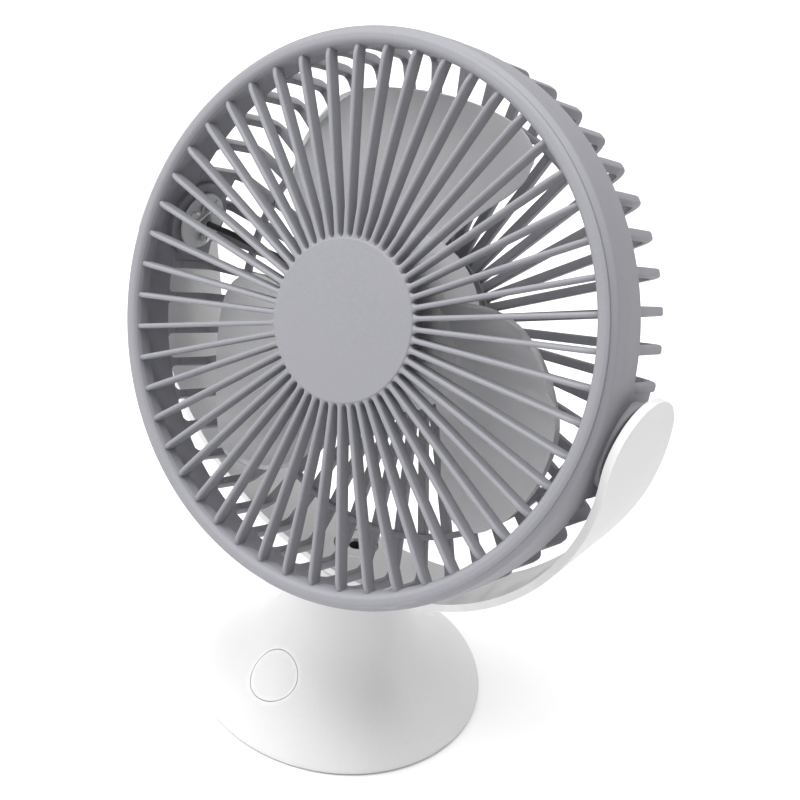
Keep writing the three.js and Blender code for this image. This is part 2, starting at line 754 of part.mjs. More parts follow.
place(stand, 'foot_shell', footShell(), 'white_shell');
place(stand, 'foot_floor', footFloor(), 'white_shell');
place(stand, 'foot_pad', rod(footRadius - 3, 0, padThickness, 48, 'z'), 'rubber');
place(stand, 'ballast_plate', ballast(), 'steel');
footScrewPlaces().forEach(([x, y], i) => {
  const top = rod(screwHeadRadius, floorBottom + gap, floorBottom + gap + screwHeadHeight - gap, 16, 'z');
  const shank = rod(screwRadius, floorBottom + gap + 0.6, 12.5, 12, 'z');
  place(stand, `foot_screw_${i + 1}`, top.add(shank).translate([x, y, 0]), 'steel');
});
const ballastTop = floorTop + gap + ballastWall;
place(stand, 'battery_pack', block(batterySize, [0, batteryPlace, ballastTop + gap + batterySize[2] / 2]),
  'battery_wrap');
place(stand, 'charge_board', chargeBoard(), 'board');
place(stand, 'usb_socket', usbSocket(), 'steel');
place(stand, 'power_button', powerButton(), 'white_shell');
place(stand, 'tact_switch', alongButton([6, 6, 3.2], switchDepth), 'black_plastic');
place(stand, 'switch_board', alongButton([14, 12, 1.2], switchDepth + 3.2 + gap), 'board');

// ---------------------------------------------------------------- swivel between foot and yoke
const boltHeadTop = pivotHeight - yokeInside;
const boltHeadFace = boltHeadTop - boltHeadHeight;
const nutTop = neckTop - neckWall - gap - washerWall - gap;
const boltEnd = nutTop - nutHeight - 1.5;

function swivelBolt() {
  const top = rod(boltHeadRadius, boltHeadFace, boltHeadTop, 32, 'z');
  const shank = rod(boltRadius, boltEnd, boltHeadFace + 0.5, 28, 'z');
  return top.add(shank).subtract(rod(boltBore, 0, clipAt, 20, 'z'));
}

place(stand, 'swivel_bush', ring(boltRadius + gap, bushRadius, neckTop - neckWall, neckTop, 28, 'z'),
  'black_plastic');
place(yoke, 'swivel_bolt', swivelBolt().translate([0, 0, -pivotHeight]), 'steel');
place(yoke, 'swivel_washer',
  ring(boltRadius + gap, 9, nutTop + gap, nutTop + gap + washerWall, 28, 'z').translate([0, 0, -pivotHeight]),
  'black_plastic');
place(yoke, 'swivel_nut',
  rod(nutRadius, nutTop - nutHeight, nutTop, 6, 'z').subtract(rod(boltRadius + gap, 0, clipAt, 28, 'z'))
    .translate([0, 0, -pivotHeight]), 'steel');

export default fan;
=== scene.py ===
import json
import math

import bmesh
import bpy
from mathutils import Matrix, Vector


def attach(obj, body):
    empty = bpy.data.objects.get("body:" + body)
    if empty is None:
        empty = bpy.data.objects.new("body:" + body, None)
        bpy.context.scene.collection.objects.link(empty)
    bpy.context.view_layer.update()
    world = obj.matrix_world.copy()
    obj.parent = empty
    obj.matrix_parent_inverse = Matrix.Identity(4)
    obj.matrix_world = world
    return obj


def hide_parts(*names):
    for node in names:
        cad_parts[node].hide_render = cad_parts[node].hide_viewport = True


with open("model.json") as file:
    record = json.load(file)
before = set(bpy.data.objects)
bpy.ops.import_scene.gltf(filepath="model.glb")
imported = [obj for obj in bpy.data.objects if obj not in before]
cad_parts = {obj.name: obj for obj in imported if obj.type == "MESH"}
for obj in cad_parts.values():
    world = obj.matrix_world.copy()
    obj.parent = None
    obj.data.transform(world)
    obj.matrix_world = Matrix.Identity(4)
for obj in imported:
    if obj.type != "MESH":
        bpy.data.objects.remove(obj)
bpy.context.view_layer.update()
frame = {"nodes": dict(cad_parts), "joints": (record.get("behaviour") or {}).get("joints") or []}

# Desk fan: a round grilled head in a C-shaped yoke, on a trumpet foot with one push button.
# Every piece is shaped in millimetres in the upright frame of its own group (Y is the fan axis, pointing
# back, and the tilt axis runs along X), and placing it turns and scales it into the shared frame.

# ---------------------------------------------------------------- places taken from the frame
joints = {joint["name"]: joint for joint in frame["joints"]}
tilt_axis = Vector(joints["head_tilt"]["pos_m"])
facing = Vector(joints["fan_spin"]["axis"])
pressing = Vector(joints["button_press"]["axis"])
head_tilt = math.atan2(facing.z, -facing.y)
stand_turn = -math.atan2(pressing.x, pressing.y)
to_metres = Matrix.Scale(0.001, 4)
HEAD = Matrix.Translation(tilt_axis) @ Matrix.Rotation(-head_tilt, 4, "X") @ to_metres
YOKE = Matrix.Translation(tilt_axis) @ to_metres
STAND = Matrix.Rotation(stand_turn, 4, "Z") @ to_metres
TINY = 1e-5                 # radius below which an outline counts as touching its axis
THROUGH = 120               # longer than any piece, for cutters that pass right through
GAP = 0.3                   # clearance between pieces that fit together


def span(node, group):
    """Lowest and highest corner of a CAD node, in millimetres in the frame of its group."""
    back = group.inverted()
    corners = [back @ v.co for v in frame["nodes"][node].data.vertices]
    return [Vector([pick(c[i] for c in corners) for i in range(3)]) for pick in (min, max)]


# ---------------------------------------------------------------- modelling tools
AXES = {"X": Vector((1, 0, 0)), "Y": Vector((0, 1, 0)), "Z": Vector((0, 0, 1))}


def rounded(corners, closed=True, steps=4):
    """An outline from (radius, along, fillet) corners, with each fillet as a short arc."""
    outline = []
    last = len(corners) - 1
    for i, (across, along, fillet) in enumerate(corners):
        here = Vector((across, along))
        if fillet == 0 or (not closed and i in (0, last)):
            outline.append(here)
            continue
        before = (Vector(corners[i - 1][:2]) - here).normalized()
        after = (Vector(corners[(i + 1) % len(corners)][:2]) - here).normalized()
        half = before.angle(after) / 2
        middle = here + (before + after).normalized() * fillet / math.sin(half)
        start = here + before * fillet / math.tan(half) - middle
        end = here + after * fillet / math.tan(half) - middle
        outline += [middle + start.slerp(end, k / steps) * fillet for k in range(steps + 1)]
    return outline


def spun(outline, axis="Y", steps=128, sweep=math.tau):
    """Turns an outline of (radius, place along the axis) round the axis into a closed shape."""
    put = {"X": lambda r, s: (s, r, 0), "Y": lambda r, s: (r, s, 0), "Z": lambda r, s: (r, 0, s)}[axis]
    bm = bmesh.new()
    line = [bm.verts.new(put(r, s)) for r, s in outline]
    edges = [bm.edges.new(pair) for pair in zip(line, line[1:])]
    if max(outline[0][0], outline[-1][0]) > TINY:
        edges.append(bm.edges.new((line[-1], line[0])))
    full = sweep == math.tau
    bmesh.ops.spin(bm, geom=line + edges, cent=(0, 0, 0), axis=AXES[axis], angle=sweep, steps=steps,
                   use_merge=full)
    bmesh.ops.remove_doubles(bm, verts=bm.verts, dist=TINY)
    if not full:
        bmesh.ops.holes_fill(bm, edges=[e for e in bm.edges if e.is_boundary], sides=0)
    bmesh.ops.recalc_face_normals(bm, faces=bm.faces)
    return bm


def rod(radius, start, end, axis="Z", steps=32):
    """A plain round bar on the axis, to build with or to cut a hole with."""
    return spun([(0, start), (radius, start), (radius, end), (0, end)], axis=axis, steps=steps)


def rounded_section(bm, width, depth, front_round, back_round, steps=3):
    """A flat rectangle, width by depth, with rounded corners: the section of a moulded rib or band."""
    bmesh.ops.create_grid(bm, x_segments=1, y_segments=1, size=0.5)
    bmesh.ops.scale(bm, verts=bm.verts, vec=(width, depth, 1))
    for side, round_by in ((-1, front_round), (1, back_round)):
        corners = [v for v in bm.verts if v.co.y * side > 0]
        bmesh.ops.bevel(bm, geom=corners, offset=round_by, offset_type="OFFSET", affect="VERTICES",
                        segments=steps, profile=0.5, material=-1)
    return bm.faces[:][0]


def lofted(bm, face, stations):
    """Extrudes a flat section from station to station. A station is the matrix that puts it there."""
    flat = [v.co.copy() for v in face.verts]
    for vert, place in zip(face.verts, flat):
        vert.co = stations[0] @ place
    for station in stations[1:]:
        made = bmesh.ops.extrude_face_region(bm, geom=[face])["geom"]
        face = next(g for g in made if isinstance(g, bmesh.types.BMFace))
        for vert, place in zip(face.verts, flat):
            vert.co = station @ place
    bmesh.ops.recalc_face_normals(bm, faces=bm.faces)
    return bm


def axes_at(origin, across, up):
    """A matrix that puts a flat section's X along across and its Y along up, at origin."""
    normal = across.cross(up)
    columns = [v.to_4d() for v in (across, up, normal)]
    for column in columns:
        column.w = 0
    return Matrix(columns + [origin.to_4d()]).transposed()


def smooth_line(points, steps=8):
    """A smooth curve through the points."""
    points = [Vector(p) for p in points]
    padded = [2 * points[0] - points[1]] + points + [2 * points[-1] - points[-2]]
    curve = []
    for a, b, c, d in zip(padded, padded[1:], padded[2:], padded[3:]):
        for k in range(steps):
            t = k / steps
            curve.append(0.5 * (2 * b + (c - a) * t + (2 * a - 5 * b + 4 * c - d) * t ** 2
                                + (3 * b - a - 3 * c + d) * t ** 3))
    return curve + [points[-1]]


def wire(points, radius, sides=12, steps=8):
    """A round wire or lead along a smooth path through the points."""
    path = smooth_line(points, steps)
    stations = []
    across = None
    for i, here in enumerate(path):
        along = (path[min(i + 1, len(path) - 1)] - path[max(i - 1, 0)]).normalized()
        across = (across or along.orthogonal()).normalized()
        across = (across - along * across.dot(along)).normalized()
        stations.append(axes_at(here, across, along.cross(across)))
    bm = bmesh.new()
    bmesh.ops.create_circle(bm, cap_ends=True, segments=sides, radius=radius)
    return lofted(bm, bm.faces[:][0], stations)


def soft_box(size, centre, edge, steps=3):
    """A box with its edges rounded."""
    bm = bmesh.new()
    bmesh.ops.create_cube(bm, size=1)
    bmesh.ops.scale(bm, verts=bm.verts, vec=size)
    bmesh.ops.bevel(bm, geom=bm.edges[:], offset=edge, offset_type="OFFSET", affect="EDGES",
                    segments=steps, profile=0.5, material=-1)
    bmesh.ops.translate(bm, verts=bm.verts, vec=centre)
    return bm


def slot_box(size, corner, steps):
    """A box whose four edges along Y are rounded."""
    bm = bmesh.new()
    bmesh.ops.create_cube(bm, size=1)
    bmesh.ops.scale(bm, verts=bm.verts, vec=size)
    lengthwise = [e for e in bm.edges if abs(e.verts[0].co.y - e.verts[1].co.y) > 1]
    bmesh.ops.bevel(bm, geom=lengthwise, offset=corner, offset_type="OFFSET", affect="EDGES",
                    segments=steps, profile=0.5, material=-1)
    return bm


def repeated(bm, count, axis="Y"):
    """Copies everything in the mesh round the axis at even steps."""
    everything = bm.verts[:] + bm.edges[:] + bm.faces[:]
    bmesh.ops.spin(bm, geom=everything, cent=(0, 0, 0), axis=AXES[axis], use_duplicate=True,
                   angle=math.tau * (count - 1) / count, steps=count - 1)
    return bm


def turned_by(bm, degrees, axis="Y"):
    """Turns the shape round an axis through the origin."""
    bmesh.ops.rotate(bm, verts=bm.verts, cent=(0, 0, 0),
                     matrix=Matrix.Rotation(math.radians(degrees), 3, axis))
    return bm


def shifted(bm, by):
    """Moves the shape."""
    bmesh.ops.translate(bm, verts=bm.verts, vec=by)
    return bm


def joined(*shapes):
    """One mesh that holds all the shapes."""
    whole = bmesh.new()
    for shape in shapes:
        holder = bpy.data.meshes.new("shape")
        shape.to_mesh(holder)
        shape.free()
        whole.from_mesh(holder)
        bpy.data.meshes.remove(holder)
    return whole


def bench_object(bm):
    """Puts a shape on a throwaway object, for a modifier to work on."""
    mesh = bpy.data.meshes.new("bench")
    bm.to_mesh(mesh)
    bm.free()
    made = bpy.data.objects.new("bench", mesh)
    bpy.context.scene.collection.objects.link(made)
    return made


def carved(bm, cutter, how="DIFFERENCE"):
    """The shape with the cutter taken away, or what the two share."""
    body, tool = bench_object(bm), bench_object(cutter)
    modifier = body.modifiers.new("carve", "BOOLEAN")
    modifier.operation = how
    modifier.solver = "EXACT"
    modifier.object = tool
    bpy.context.view_layer.update()
    result = bmesh.new()
    result.from_object(body, bpy.context.evaluated_depsgraph_get())
    for used in (body, tool):
        mesh = used.data
        bpy.data.objects.remove(used)
        bpy.data.meshes.remove(mesh)
    return result


def softened(bm, width, angle=40, steps=2):
    """Rounds every edge that is sharper than the angle."""
    sharp = [e for e in bm.edges if len(e.link_faces) == 2 and e.calc_face_angle() > math.radians(angle)]
    bmesh.ops.bevel(bm, geom=sharp, offset=width, offset_type="OFFSET", affect="EDGES", segments=steps,
                    profile=0.5, material=-1, clamp_overlap=True)
    return bm


def piece(name, bm, group, body, slot, finish, *nodes, sharp=38):
    """Puts a finished shape into the scene, riding on its body in place of its CAD nodes."""
    bmesh.ops.transform(bm, matrix=group, verts=bm.verts)
    mesh = bpy.data.meshes.new(name)
    bm.to_mesh(mesh)
    bm.free()
    mesh.shade_smooth()
    mesh.set_sharp_from_angle(angle=math.radians(sharp))
    mesh.materials.append(finish)
    made = bpy.data.objects.new(name, mesh)
    bpy.context.scene.collection.objects.link(made)
    weighted = made.modifiers.new("even_normals", "WEIGHTED_NORMAL")
    weighted.keep_sharp = True
    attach(made, body)
    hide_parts(*nodes)
    return made


# ---------------------------------------------------------------- material tools
def node(tree, kind, inputs=None, **settings):
    """Adds a shader node. An input's value is a number, a colour or another node's output."""
    made = tree.nodes.new(kind)
    for key, value in settings.items():
        setattr(made, key, value)
    for key, value in (inputs or {}).items():
        if isinstance(value, bpy.types.NodeSocket):
            tree.links.new(value, made.inputs[key])
        else:
            made.inputs[key].default_value = value
    return made


def effect(name, inputs, outputs):
    """An empty node group with named sockets, and its two end nodes."""
    tree = bpy.data.node_groups.new(name, "ShaderNodeTree")
    kinds = {"colour": "NodeSocketColor", "value": "NodeSocketFloat"}
    for socket, kind in inputs:
        tree.interface.new_socket(socket, in_out="INPUT", socket_type=kinds[kind])
    for socket, kind in outputs:
        tree.interface.new_socket(socket, in_out="OUTPUT", socket_type=kinds[kind])
    return tree, tree.nodes.new("NodeGroupInput").outputs, tree.nodes.new("NodeGroupOutput").inputs


def noise(tree, scale, detail=2.0, roughness=0.5):
    """Noise that is fixed to the piece."""
    coords = node(tree, "ShaderNodeTexCoord").outputs["Object"]
    return node(tree, "ShaderNodeTexNoise", {"Vector": coords, "Scale": scale, "Detail": detail,
                                             "Roughness": roughness}).outputs["Fac"]


def ranged(tree, value, low, high, to_low, to_high):
    """Stretches a value from one range to another and holds it there."""
    return node(tree, "ShaderNodeMapRange", {"Value": value, "From Min": low, "From Max": high,
                                             "To Min": to_low, "To Max": to_high}).outputs["Result"]


def mixed(tree, factor, first, second):
    """A colour between two colours."""
    made = node(tree, "ShaderNodeMix", data_type="RGBA")
    for socket, value in ((made.inputs[0], factor), (made.inputs[6], first), (made.inputs[7], second)):
        if isinstance(value, bpy.types.NodeSocket):
            tree.links.new(value, socket)
        else:
            socket.default_value = value
    return made.outputs[2]


def make_moulded_effect():
    """Eroded mould grain, slow flow mottling and a slightly uneven sheen."""
    tree, given, out = effect(
        "moulded_surface",
        [("Colour", "colour"), ("Shade", "colour"), ("Grain Scale", "value"), ("Sheen", "value"),
         ("Unevenness", "value")],
        [("Colour", "colour"), ("Roughness", "value"), ("Height", "value")])
    flow = ranged(tree, noise(tree, 28, 3), 0.35, 0.65, 0, 1)
    speck = ranged(tree, noise(tree, 900, 1), 0.3, 0.7, 0, 1)
    patch = node(tree, "ShaderNodeMath", {0: flow, 1: speck}, operation="MULTIPLY").outputs[0]
    tree.links.new(mixed(tree, patch, given["Colour"], given["Shade"]), out["Colour"])
    worn = ranged(tree, noise(tree, 75, 4, 0.6), 0.3, 0.7, -0.5, 0.5)
    swing = node(tree, "ShaderNodeMath", {0: worn, 1: given["Unevenness"]}, operation="MULTIPLY").outputs[0]
    sheen = node(tree, "ShaderNodeMath", {0: swing, 1: given["Sheen"]}, operation="ADD").outputs[0]
    tree.links.new(sheen, out["Roughness"])
    tree.links.new(noise(tree, given["Grain Scale"], 2, 0.65), out["Height"])
    return tree


def make_edge_wear_and_crease_shade():
    """Lighter colour where corners are rubbed, and painted shade: darker in the creases, where shade falls.
    """
    tree, given, out = effect(
        "rubbed_edges_and_crease_shade", [("Colour", "colour"), ("Edge Colour", "colour"), ("Painted Crease Shade", "colour")],
        [("Colour", "colour"), ("Edge", "value")])
    bend = node(tree, "ShaderNodeNewGeometry").outputs["Pointiness"]
    broken = ranged(tree, noise(tree, 220, 3), 0.3, 0.7, 0.4, 1)
    edge = node(tree, "ShaderNodeMath", {0: ranged(tree, bend, 0.53, 0.62, 0, 1), 1: broken},
                operation="MULTIPLY").outputs[0]
    # painted shade: concave places, where pointiness is low, turn to the darker crease colour
    crease_shade = ranged(tree, bend, 0.47, 0.40, 0, 1)
    crease_shaded = mixed(tree, crease_shade, given["Colour"], given["Painted Crease Shade"])
    tree.links.new(mixed(tree, edge, crease_shaded, given["Edge Colour"]), out["Colour"])
    tree.links.new(edge, out["Edge"])
    return tree


def make_metal_effect():
    """Fine turning lines and a cloudy plated tone."""
    tree, given, out = effect(
        "turned_metal", [("Colour", "colour"), ("Tarnish", "colour"), ("Line Scale", "value")],
        [("Colour", "colour"), ("Roughness", "value"), ("Height", "value")])
    coords = node(tree, "ShaderNodeTexCoord").outputs["Object"]
    lines = node(tree, "ShaderNodeTexWave", {"Vector": coords, "Scale": given["Line Scale"],
                                             "Distortion": 1.5, "Detail": 2.0},
                 wave_type="RINGS", rings_direction="SPHERICAL").outputs["Fac"]
    cloud = ranged(tree, noise(tree, 120, 4), 0.35, 0.65, 0, 1)
    tree.links.new(mixed(tree, cloud, given["Colour"], given["Tarnish"]), out["Colour"])
    tree.links.new(ranged(tree, cloud, 0, 1, 0.26, 0.42), out["Roughness"])
    tree.links.new(lines, out["Height"])
    return tree


MOULDED = make_moulded_effect()
# the edge group's crease colour is painted shade; its edge colour is rubbed wear
EDGES = make_edge_wear_and_crease_shade()
METAL = make_metal_effect()


def grey(value, blue=0.0):
    """A grey, with its blue raised by a share."""
    return (value, value, value * (1 + blue), 1)


def new_material(name, **constants):
    material = bpy.data.materials.new(name)
    material.use_nodes = True
    shader = material.node_tree.nodes["Principled BSDF"]
    for socket, value in constants.items():
        shader.inputs[socket.replace("_", " ")].default_value = value
    return material, material.node_tree, shader


def bumped(tree, shader, height, distance, strength=1.0):
    bump = node(tree, "ShaderNodeBump", {"Height": height, "Distance": distance, "Strength": strength})
    tree.links.new(bump.outputs["Normal"], shader.inputs["Normal"])


def plastic(name, colour, shade, edge, crease_shade, sheen, grain=2600, depth=0.00003, unevenness=0.1):
    """Matt moulded plastic, lighter on its rubbed corners and darkened in its creases by painted shade."""
    material, tree, shader = new_material(name, Specular_IOR_Level=0.42)
    surface = node(tree, "ShaderNodeGroup", node_tree=MOULDED)
    rub_and_shade = node(tree, "ShaderNodeGroup", node_tree=EDGES)
    for socket, value in (("Colour", colour), ("Shade", shade), ("Grain Scale", grain), ("Sheen", sheen),
                          ("Unevenness", unevenness)):
        surface.inputs[socket].default_value = value
    rub_and_shade.inputs["Edge Colour"].default_value = edge
    # the crease colour is painted shade for the creases
    rub_and_shade.inputs["Painted Crease Shade"].default_value = crease_shade
    tree.links.new(surface.outputs["Colour"], rub_and_shade.inputs["Colour"])
    tree.links.new(rub_and_shade.outputs["Colour"], shader.inputs["Base Color"])
    tree.links.new(surface.outputs["Roughness"], shader.inputs["Roughness"])
    bumped(tree, shader, surface.outputs["Height"], depth)
    return material


def metal(name, colour, tarnish, line_scale, depth=0.00002):
    """Plated or turned metal."""
    material, tree, shader = new_material(name, Metallic=1.0)
    surface = node(tree, "ShaderNodeGroup", node_tree=METAL)
    surface.inputs["Colour"].default_value = colour
    surface.inputs["Tarnish"].default_value = tarnish
    surface.inputs["Line Scale"].default_value = line_scale
    tree.links.new(surface.outputs["Colour"], shader.inputs["Base Color"])
    tree.links.new(surface.outputs["Roughness"], shader.inputs["Roughness"])
    bumped(tree, shader, surface.outputs["Height"], depth)
    return material


def winding_finish():
    """Enamelled wire laid in close turns."""
    material, tree, shader = new_material("wound_copper", Metallic=0.85)
    coords = node(tree, "ShaderNodeTexCoord").outputs["Object"]
    turns = node(tree, "ShaderNodeTexWave", {"Vector": coords, "Scale": 700.0, "Distortion": 0.6,
                                             "Detail": 1.0}, bands_direction="Y").outputs["Fac"]
    tone = mixed(tree, turns, (0.42, 0.16, 0.06, 1), (0.78, 0.36, 0.15, 1))
    tree.links.new(tone, shader.inputs["Base Color"])
    tree.links.new(ranged(tree, noise(tree, 300, 2), 0.3, 0.7, 0.25, 0.4), shader.inputs["Roughness"])
    bumped(tree, shader, turns, 0.0002)
    return material


def board_finish():
    """Solder mask over copper tracks, with fine speckle."""
    material, tree, shader = new_material("solder_mask")
    coords = node(tree, "ShaderNodeTexCoord").outputs["Object"]
    cells = node(tree, "ShaderNodeTexVoronoi", {"Vector": coords, "Scale": 420.0}, distance="MANHATTAN",
                 feature="F1").outputs["Distance"]
    tracks = ranged(tree, cells, 0.38, 0.42, 0, 1)
    tone = mixed(tree, tracks, (0.010, 0.085, 0.035, 1), (0.030, 0.190, 0.080, 1))
    tree.links.new(tone, shader.inputs["Base Color"])
    tree.links.new(ranged(tree, noise(tree, 500, 3), 0.3, 0.7, 0.28, 0.46), shader.inputs["Roughness"])
    bumped(tree, shader, tracks, 0.00004)
    return material


def foil_finish():
    """Crinkled pouch foil under a thin wrap."""
    material, tree, shader = new_material("pouch_foil", Metallic=0.7)
    creases = noise(tree, 160, 5, 0.7)
    fold = ranged(tree, creases, 0.35, 0.65, 0, 1)
    tone = mixed(tree, fold, (0.42, 0.45, 0.50, 1), (0.62, 0.65, 0.70, 1))
    tree.links.new(tone, shader.inputs["Base Color"])
    tree.links.new(ranged(tree, noise(tree, 60, 3), 0.3, 0.7, 0.25, 0.45), shader.inputs["Roughness"])
    bumped(tree, shader, creases, 0.0004)
    return material


def magnet_finish():
    """Bonded ferrite: near black with a dense speckle."""
    material, tree, shader = new_material("bonded_ferrite", Metallic=0.2)
    speckle = noise(tree, 2200, 3, 0.7)
    grains = ranged(tree, speckle, 0.4, 0.7, 0, 1)
    tone = mixed(tree, grains, (0.030, 0.030, 0.032, 1), (0.11, 0.11, 0.115, 1))
    tree.links.new(tone, shader.inputs["Base Color"])
    tree.links.new(ranged(tree, speckle, 0.3, 0.7, 0.5, 0.75), shader.inputs["Roughness"])
    bumped(tree, shader, speckle, 0.00005)
    return material


# the fourth colour of each plastic is painted shade for its creases, darker than the plastic and bluer on
# the grey
grey_shell = plastic("grey_moulding", grey(0.252, 0.09), grey(0.236, 0.10), grey(0.300, 0.08),
                     grey(0.190, 0.14), 0.58)
blade_grey = plastic("blade_moulding", grey(0.640, 0.02), grey(0.615, 0.02), grey(0.700, 0.02),
                     grey(0.45, 0.03), 0.5)
white_shell = plastic("white_moulding", grey(0.690), grey(0.672), grey(0.740), grey(0.600), 0.55)
black_nylon = plastic("black_nylon", grey(0.020), grey(0.028), grey(0.06), grey(0.012), 0.55, grain=1800)
pad_rubber = plastic("pad_rubber", grey(0.27, 0.02), grey(0.24, 0.02), grey(0.33), grey(0.18), 0.85,
                     grain=1400, depth=0.00006)
plated_steel = metal("plated_steel", grey(0.60, 0.02), grey(0.50, 0.01), 900)
electrical_steel = metal("electrical_steel", grey(0.36, 0.01), grey(0.27), 1500, 0.00005)
wound_copper = winding_finish()
solder_mask = board_finish()
pouch_foil = foil_finish()
bonded_ferrite = magnet_finish()

# ---------------------------------------------------------------- head: front grille
drum_low, drum_high = span("rear_cage", HEAD)
grille_low, grille_high = span("front_grille", HEAD)
drum_front = drum_low.y
cage_back = drum_high.y
head_radius = drum_high.z
seam_radius = head_radius - 1.7
disc_face = grille_low.y
skirt_back = grille_high.y

RIM_WIDTH = 4.3
RIM_CROWN = 1.7
DRUM_WALL = 4.2
SKIRT_WALL = 2.4
DISC_RADIUS = 27
DISC_DOME = 0.8
DISC_DEPTH = 6
DISC_WALL = 2
FRONT_RIBS = 50
FRONT_RIB_TURN = 3.2        # degrees from the tilt axis to the first front rib
FRONT_RIB_WIDTH = 1.7
FRONT_RIB_DEPTH = 5.2
RIB_NOSE = 5                # length over which a rib bends down onto the rim
FLARE_LENGTH = 1.5          # length over which a rib widens into the disc


def front_rim():
    """The crowned rim, with the skirt that plugs into the drum."""
    crown = drum_front - RIM_CROWN
    drum_inside = head_radius - DRUM_WALL
    skirt = drum_inside - GAP
    return spun(rounded([
        (seam_radius - RIM_WIDTH, drum_front - 0.3, 0.9),
        (seam_radius - 3.3, crown + 0.1, 1.8),
        (seam_radius - 1.1, crown + 0.25, 1.6),
        (seam_radius, drum_front - 0.9, 0.5),
        (seam_radius, drum_front - GAP, 0.15),
        (skirt, drum_front - GAP, 0),
        (skirt, skirt_back, 0.5),
        (skirt - SKIRT_WALL, skirt_back, 0.5),
        (skirt - SKIRT_WALL + 0.4, drum_front + 1, 1),
    ]), steps=240)


def front_disc():
    """The plain, slightly domed disc, hollow at its back."""
    edge_face = disc_face + DISC_DOME
    dome = [(DISC_RADIUS * k / 8, disc_face + DISC_DOME * (k / 8) ** 2) for k in range(8)]
    back = edge_face + DISC_DEPTH
    rim = rounded([
        (dome[-1][0], dome[-1][1], 0),
        (DISC_RADIUS, edge_face - 0.05, 0.7),
        (DISC_RADIUS - 0.2, back, 0.4),
        (DISC_RADIUS - DISC_WALL, back, 0.4),
        (DISC_RADIUS - DISC_WALL, edge_face + DISC_WALL, 0.6),
        (0, disc_face + DISC_WALL, 0),
    ], closed=False)
    return spun([Vector(p) for p in dome] + rim[1:], steps=150)


def front_ribs():
    """Deep ribs with round front edges, flared into the disc and nosed down onto the rim."""
    root_front = disc_face + DISC_DOME + 0.2
    tip_radius = seam_radius - RIM_WIDTH + 0.8
    nose_from = tip_radius - RIB_NOSE
    slope = (drum_front - 1.5 - root_front) / (nose_from - DISC_RADIUS)
    radii = [DISC_RADIUS + r for r in (-1.2, 0, 0.2, 0.5, 0.9, FLARE_LENGTH)]
    radii += [DISC_RADIUS + (nose_from - DISC_RADIUS) * k / 4 for k in (1, 2, 3, 4)]
    radii += [nose_from + RIB_NOSE * k for k in (0.25, 0.5, 0.7, 0.85, 1)]
    stations = []
    for r in radii:
        past_disc = r - DISC_RADIUS
        front = root_front + slope * past_disc + 1.9 * max((r - nose_from) / RIB_NOSE, 0) ** 2
        back = root_front + FRONT_RIB_DEPTH + 0.04 * past_disc
        flare = 1 + 0.95 * max(1 - past_disc / FLARE_LENGTH, 0) ** 2.4 if r >= DISC_RADIUS else 1.95
        stations.append(axes_at(Vector((r, (front + back) / 2, 0)), Vector((0, 0, flare)),
                                Vector((0, (back - front) / FRONT_RIB_DEPTH, 0))))
    bm = bmesh.new()
    lofted(bm, rounded_section(bm, FRONT_RIB_WIDTH, FRONT_RIB_DEPTH, 0.8, 0.35), stations)
    return repeated(turned_by(bm, FRONT_RIB_TURN), FRONT_RIBS)


def make_front_grille():
    piece("front_grille_moulding", joined(front_rim(), front_disc(), front_ribs()), HEAD, "head",
          "grey_shell", grey_shell, "front_grille")


# ---------------------------------------------------------------- head: rear cage
DRUM_BACK = -5.7
REAR_RIBS = 48
REAR_RIB_WIDTH = 3
REAR_RIB_DEPTH = 3.5
REAR_HUB_RADIUS = 27
BAND_RADIUS = 76.5
SCREW_CIRCLE = 17
SCREW_HOLE = 1.55
LUG_SPAN = 11.25            # degrees that the solid patch reaches to each side of a pivot
PAD_RADIUS = 15
PIVOT_BORE = 8.3
cage_line = [
    (head_radius - 0.75, DRUM_BACK - 3, 0),
    (head_radius - 1.0, DRUM_BACK + 5, 40),
    (head_radius - 1.9, cage_back - 6.2, 6.4),
    (BAND_RADIUS, cage_back - 4, 30),
    (REAR_HUB_RADIUS - 2, cage_back - 0.6, 0),
]


def cage_drum():
    """The plain ring that carries the grille's skirt and both pivots."""
    inside = head_radius - DRUM_WALL
    return spun(rounded([
        (inside, drum_front, 0.4),
        (seam_radius, drum_front, 0.2),
        (head_radius, drum_front + 1.9, 2.2),
        (head_radius, drum_front + 10, 20),
        (head_radius - 0.4, DRUM_BACK, 0.9),
        (inside, DRUM_BACK, 0.9),
    ]), steps=240)


def rear_ribs():
    """Bars that leave the drum's back edge in small fillets, bend over the shoulder and run to the hub."""
    line = rounded(cage_line, closed=False, steps=5)
    along = [DRUM_BACK - 1.2, DRUM_BACK - 0.2, DRUM_BACK + 0.5, DRUM_BACK + 1.4]
    head = [Vector((head_radius - 0.75 - 0.06 * (s - DRUM_BACK + 3), s)) for s in along]
    path = head + [p for p in line if p.y > along[-1] + 1 or p.x < head_radius - 10]
    stations = []
    for i, here in enumerate(path):
        ahead = (path[min(i + 1, len(path) - 1)] - path[max(i - 1, 0)]).normalized()
        out = Vector((ahead.y, -ahead.x))
        reach = max(1 - (here.y - DRUM_BACK + 0.2) / 1.6, 0) if here.x > head_radius - 5 else 0
        flare = 1 + 0.85 * min(reach, 1) ** 2
        middle = here - out * REAR_RIB_DEPTH / 2
        stations.append(axes_at(Vector((middle.x, middle.y, 0)), Vector((0, 0, flare)),
                                Vector((-out.x, -out.y, 0))))
    bm = bmesh.new()
    lofted(bm, rounded_section(bm, REAR_RIB_WIDTH, REAR_RIB_DEPTH, 0.7, 0.5, 2), stations)
    return repeated(turned_by(bm, 180 / REAR_RIBS), REAR_RIBS)


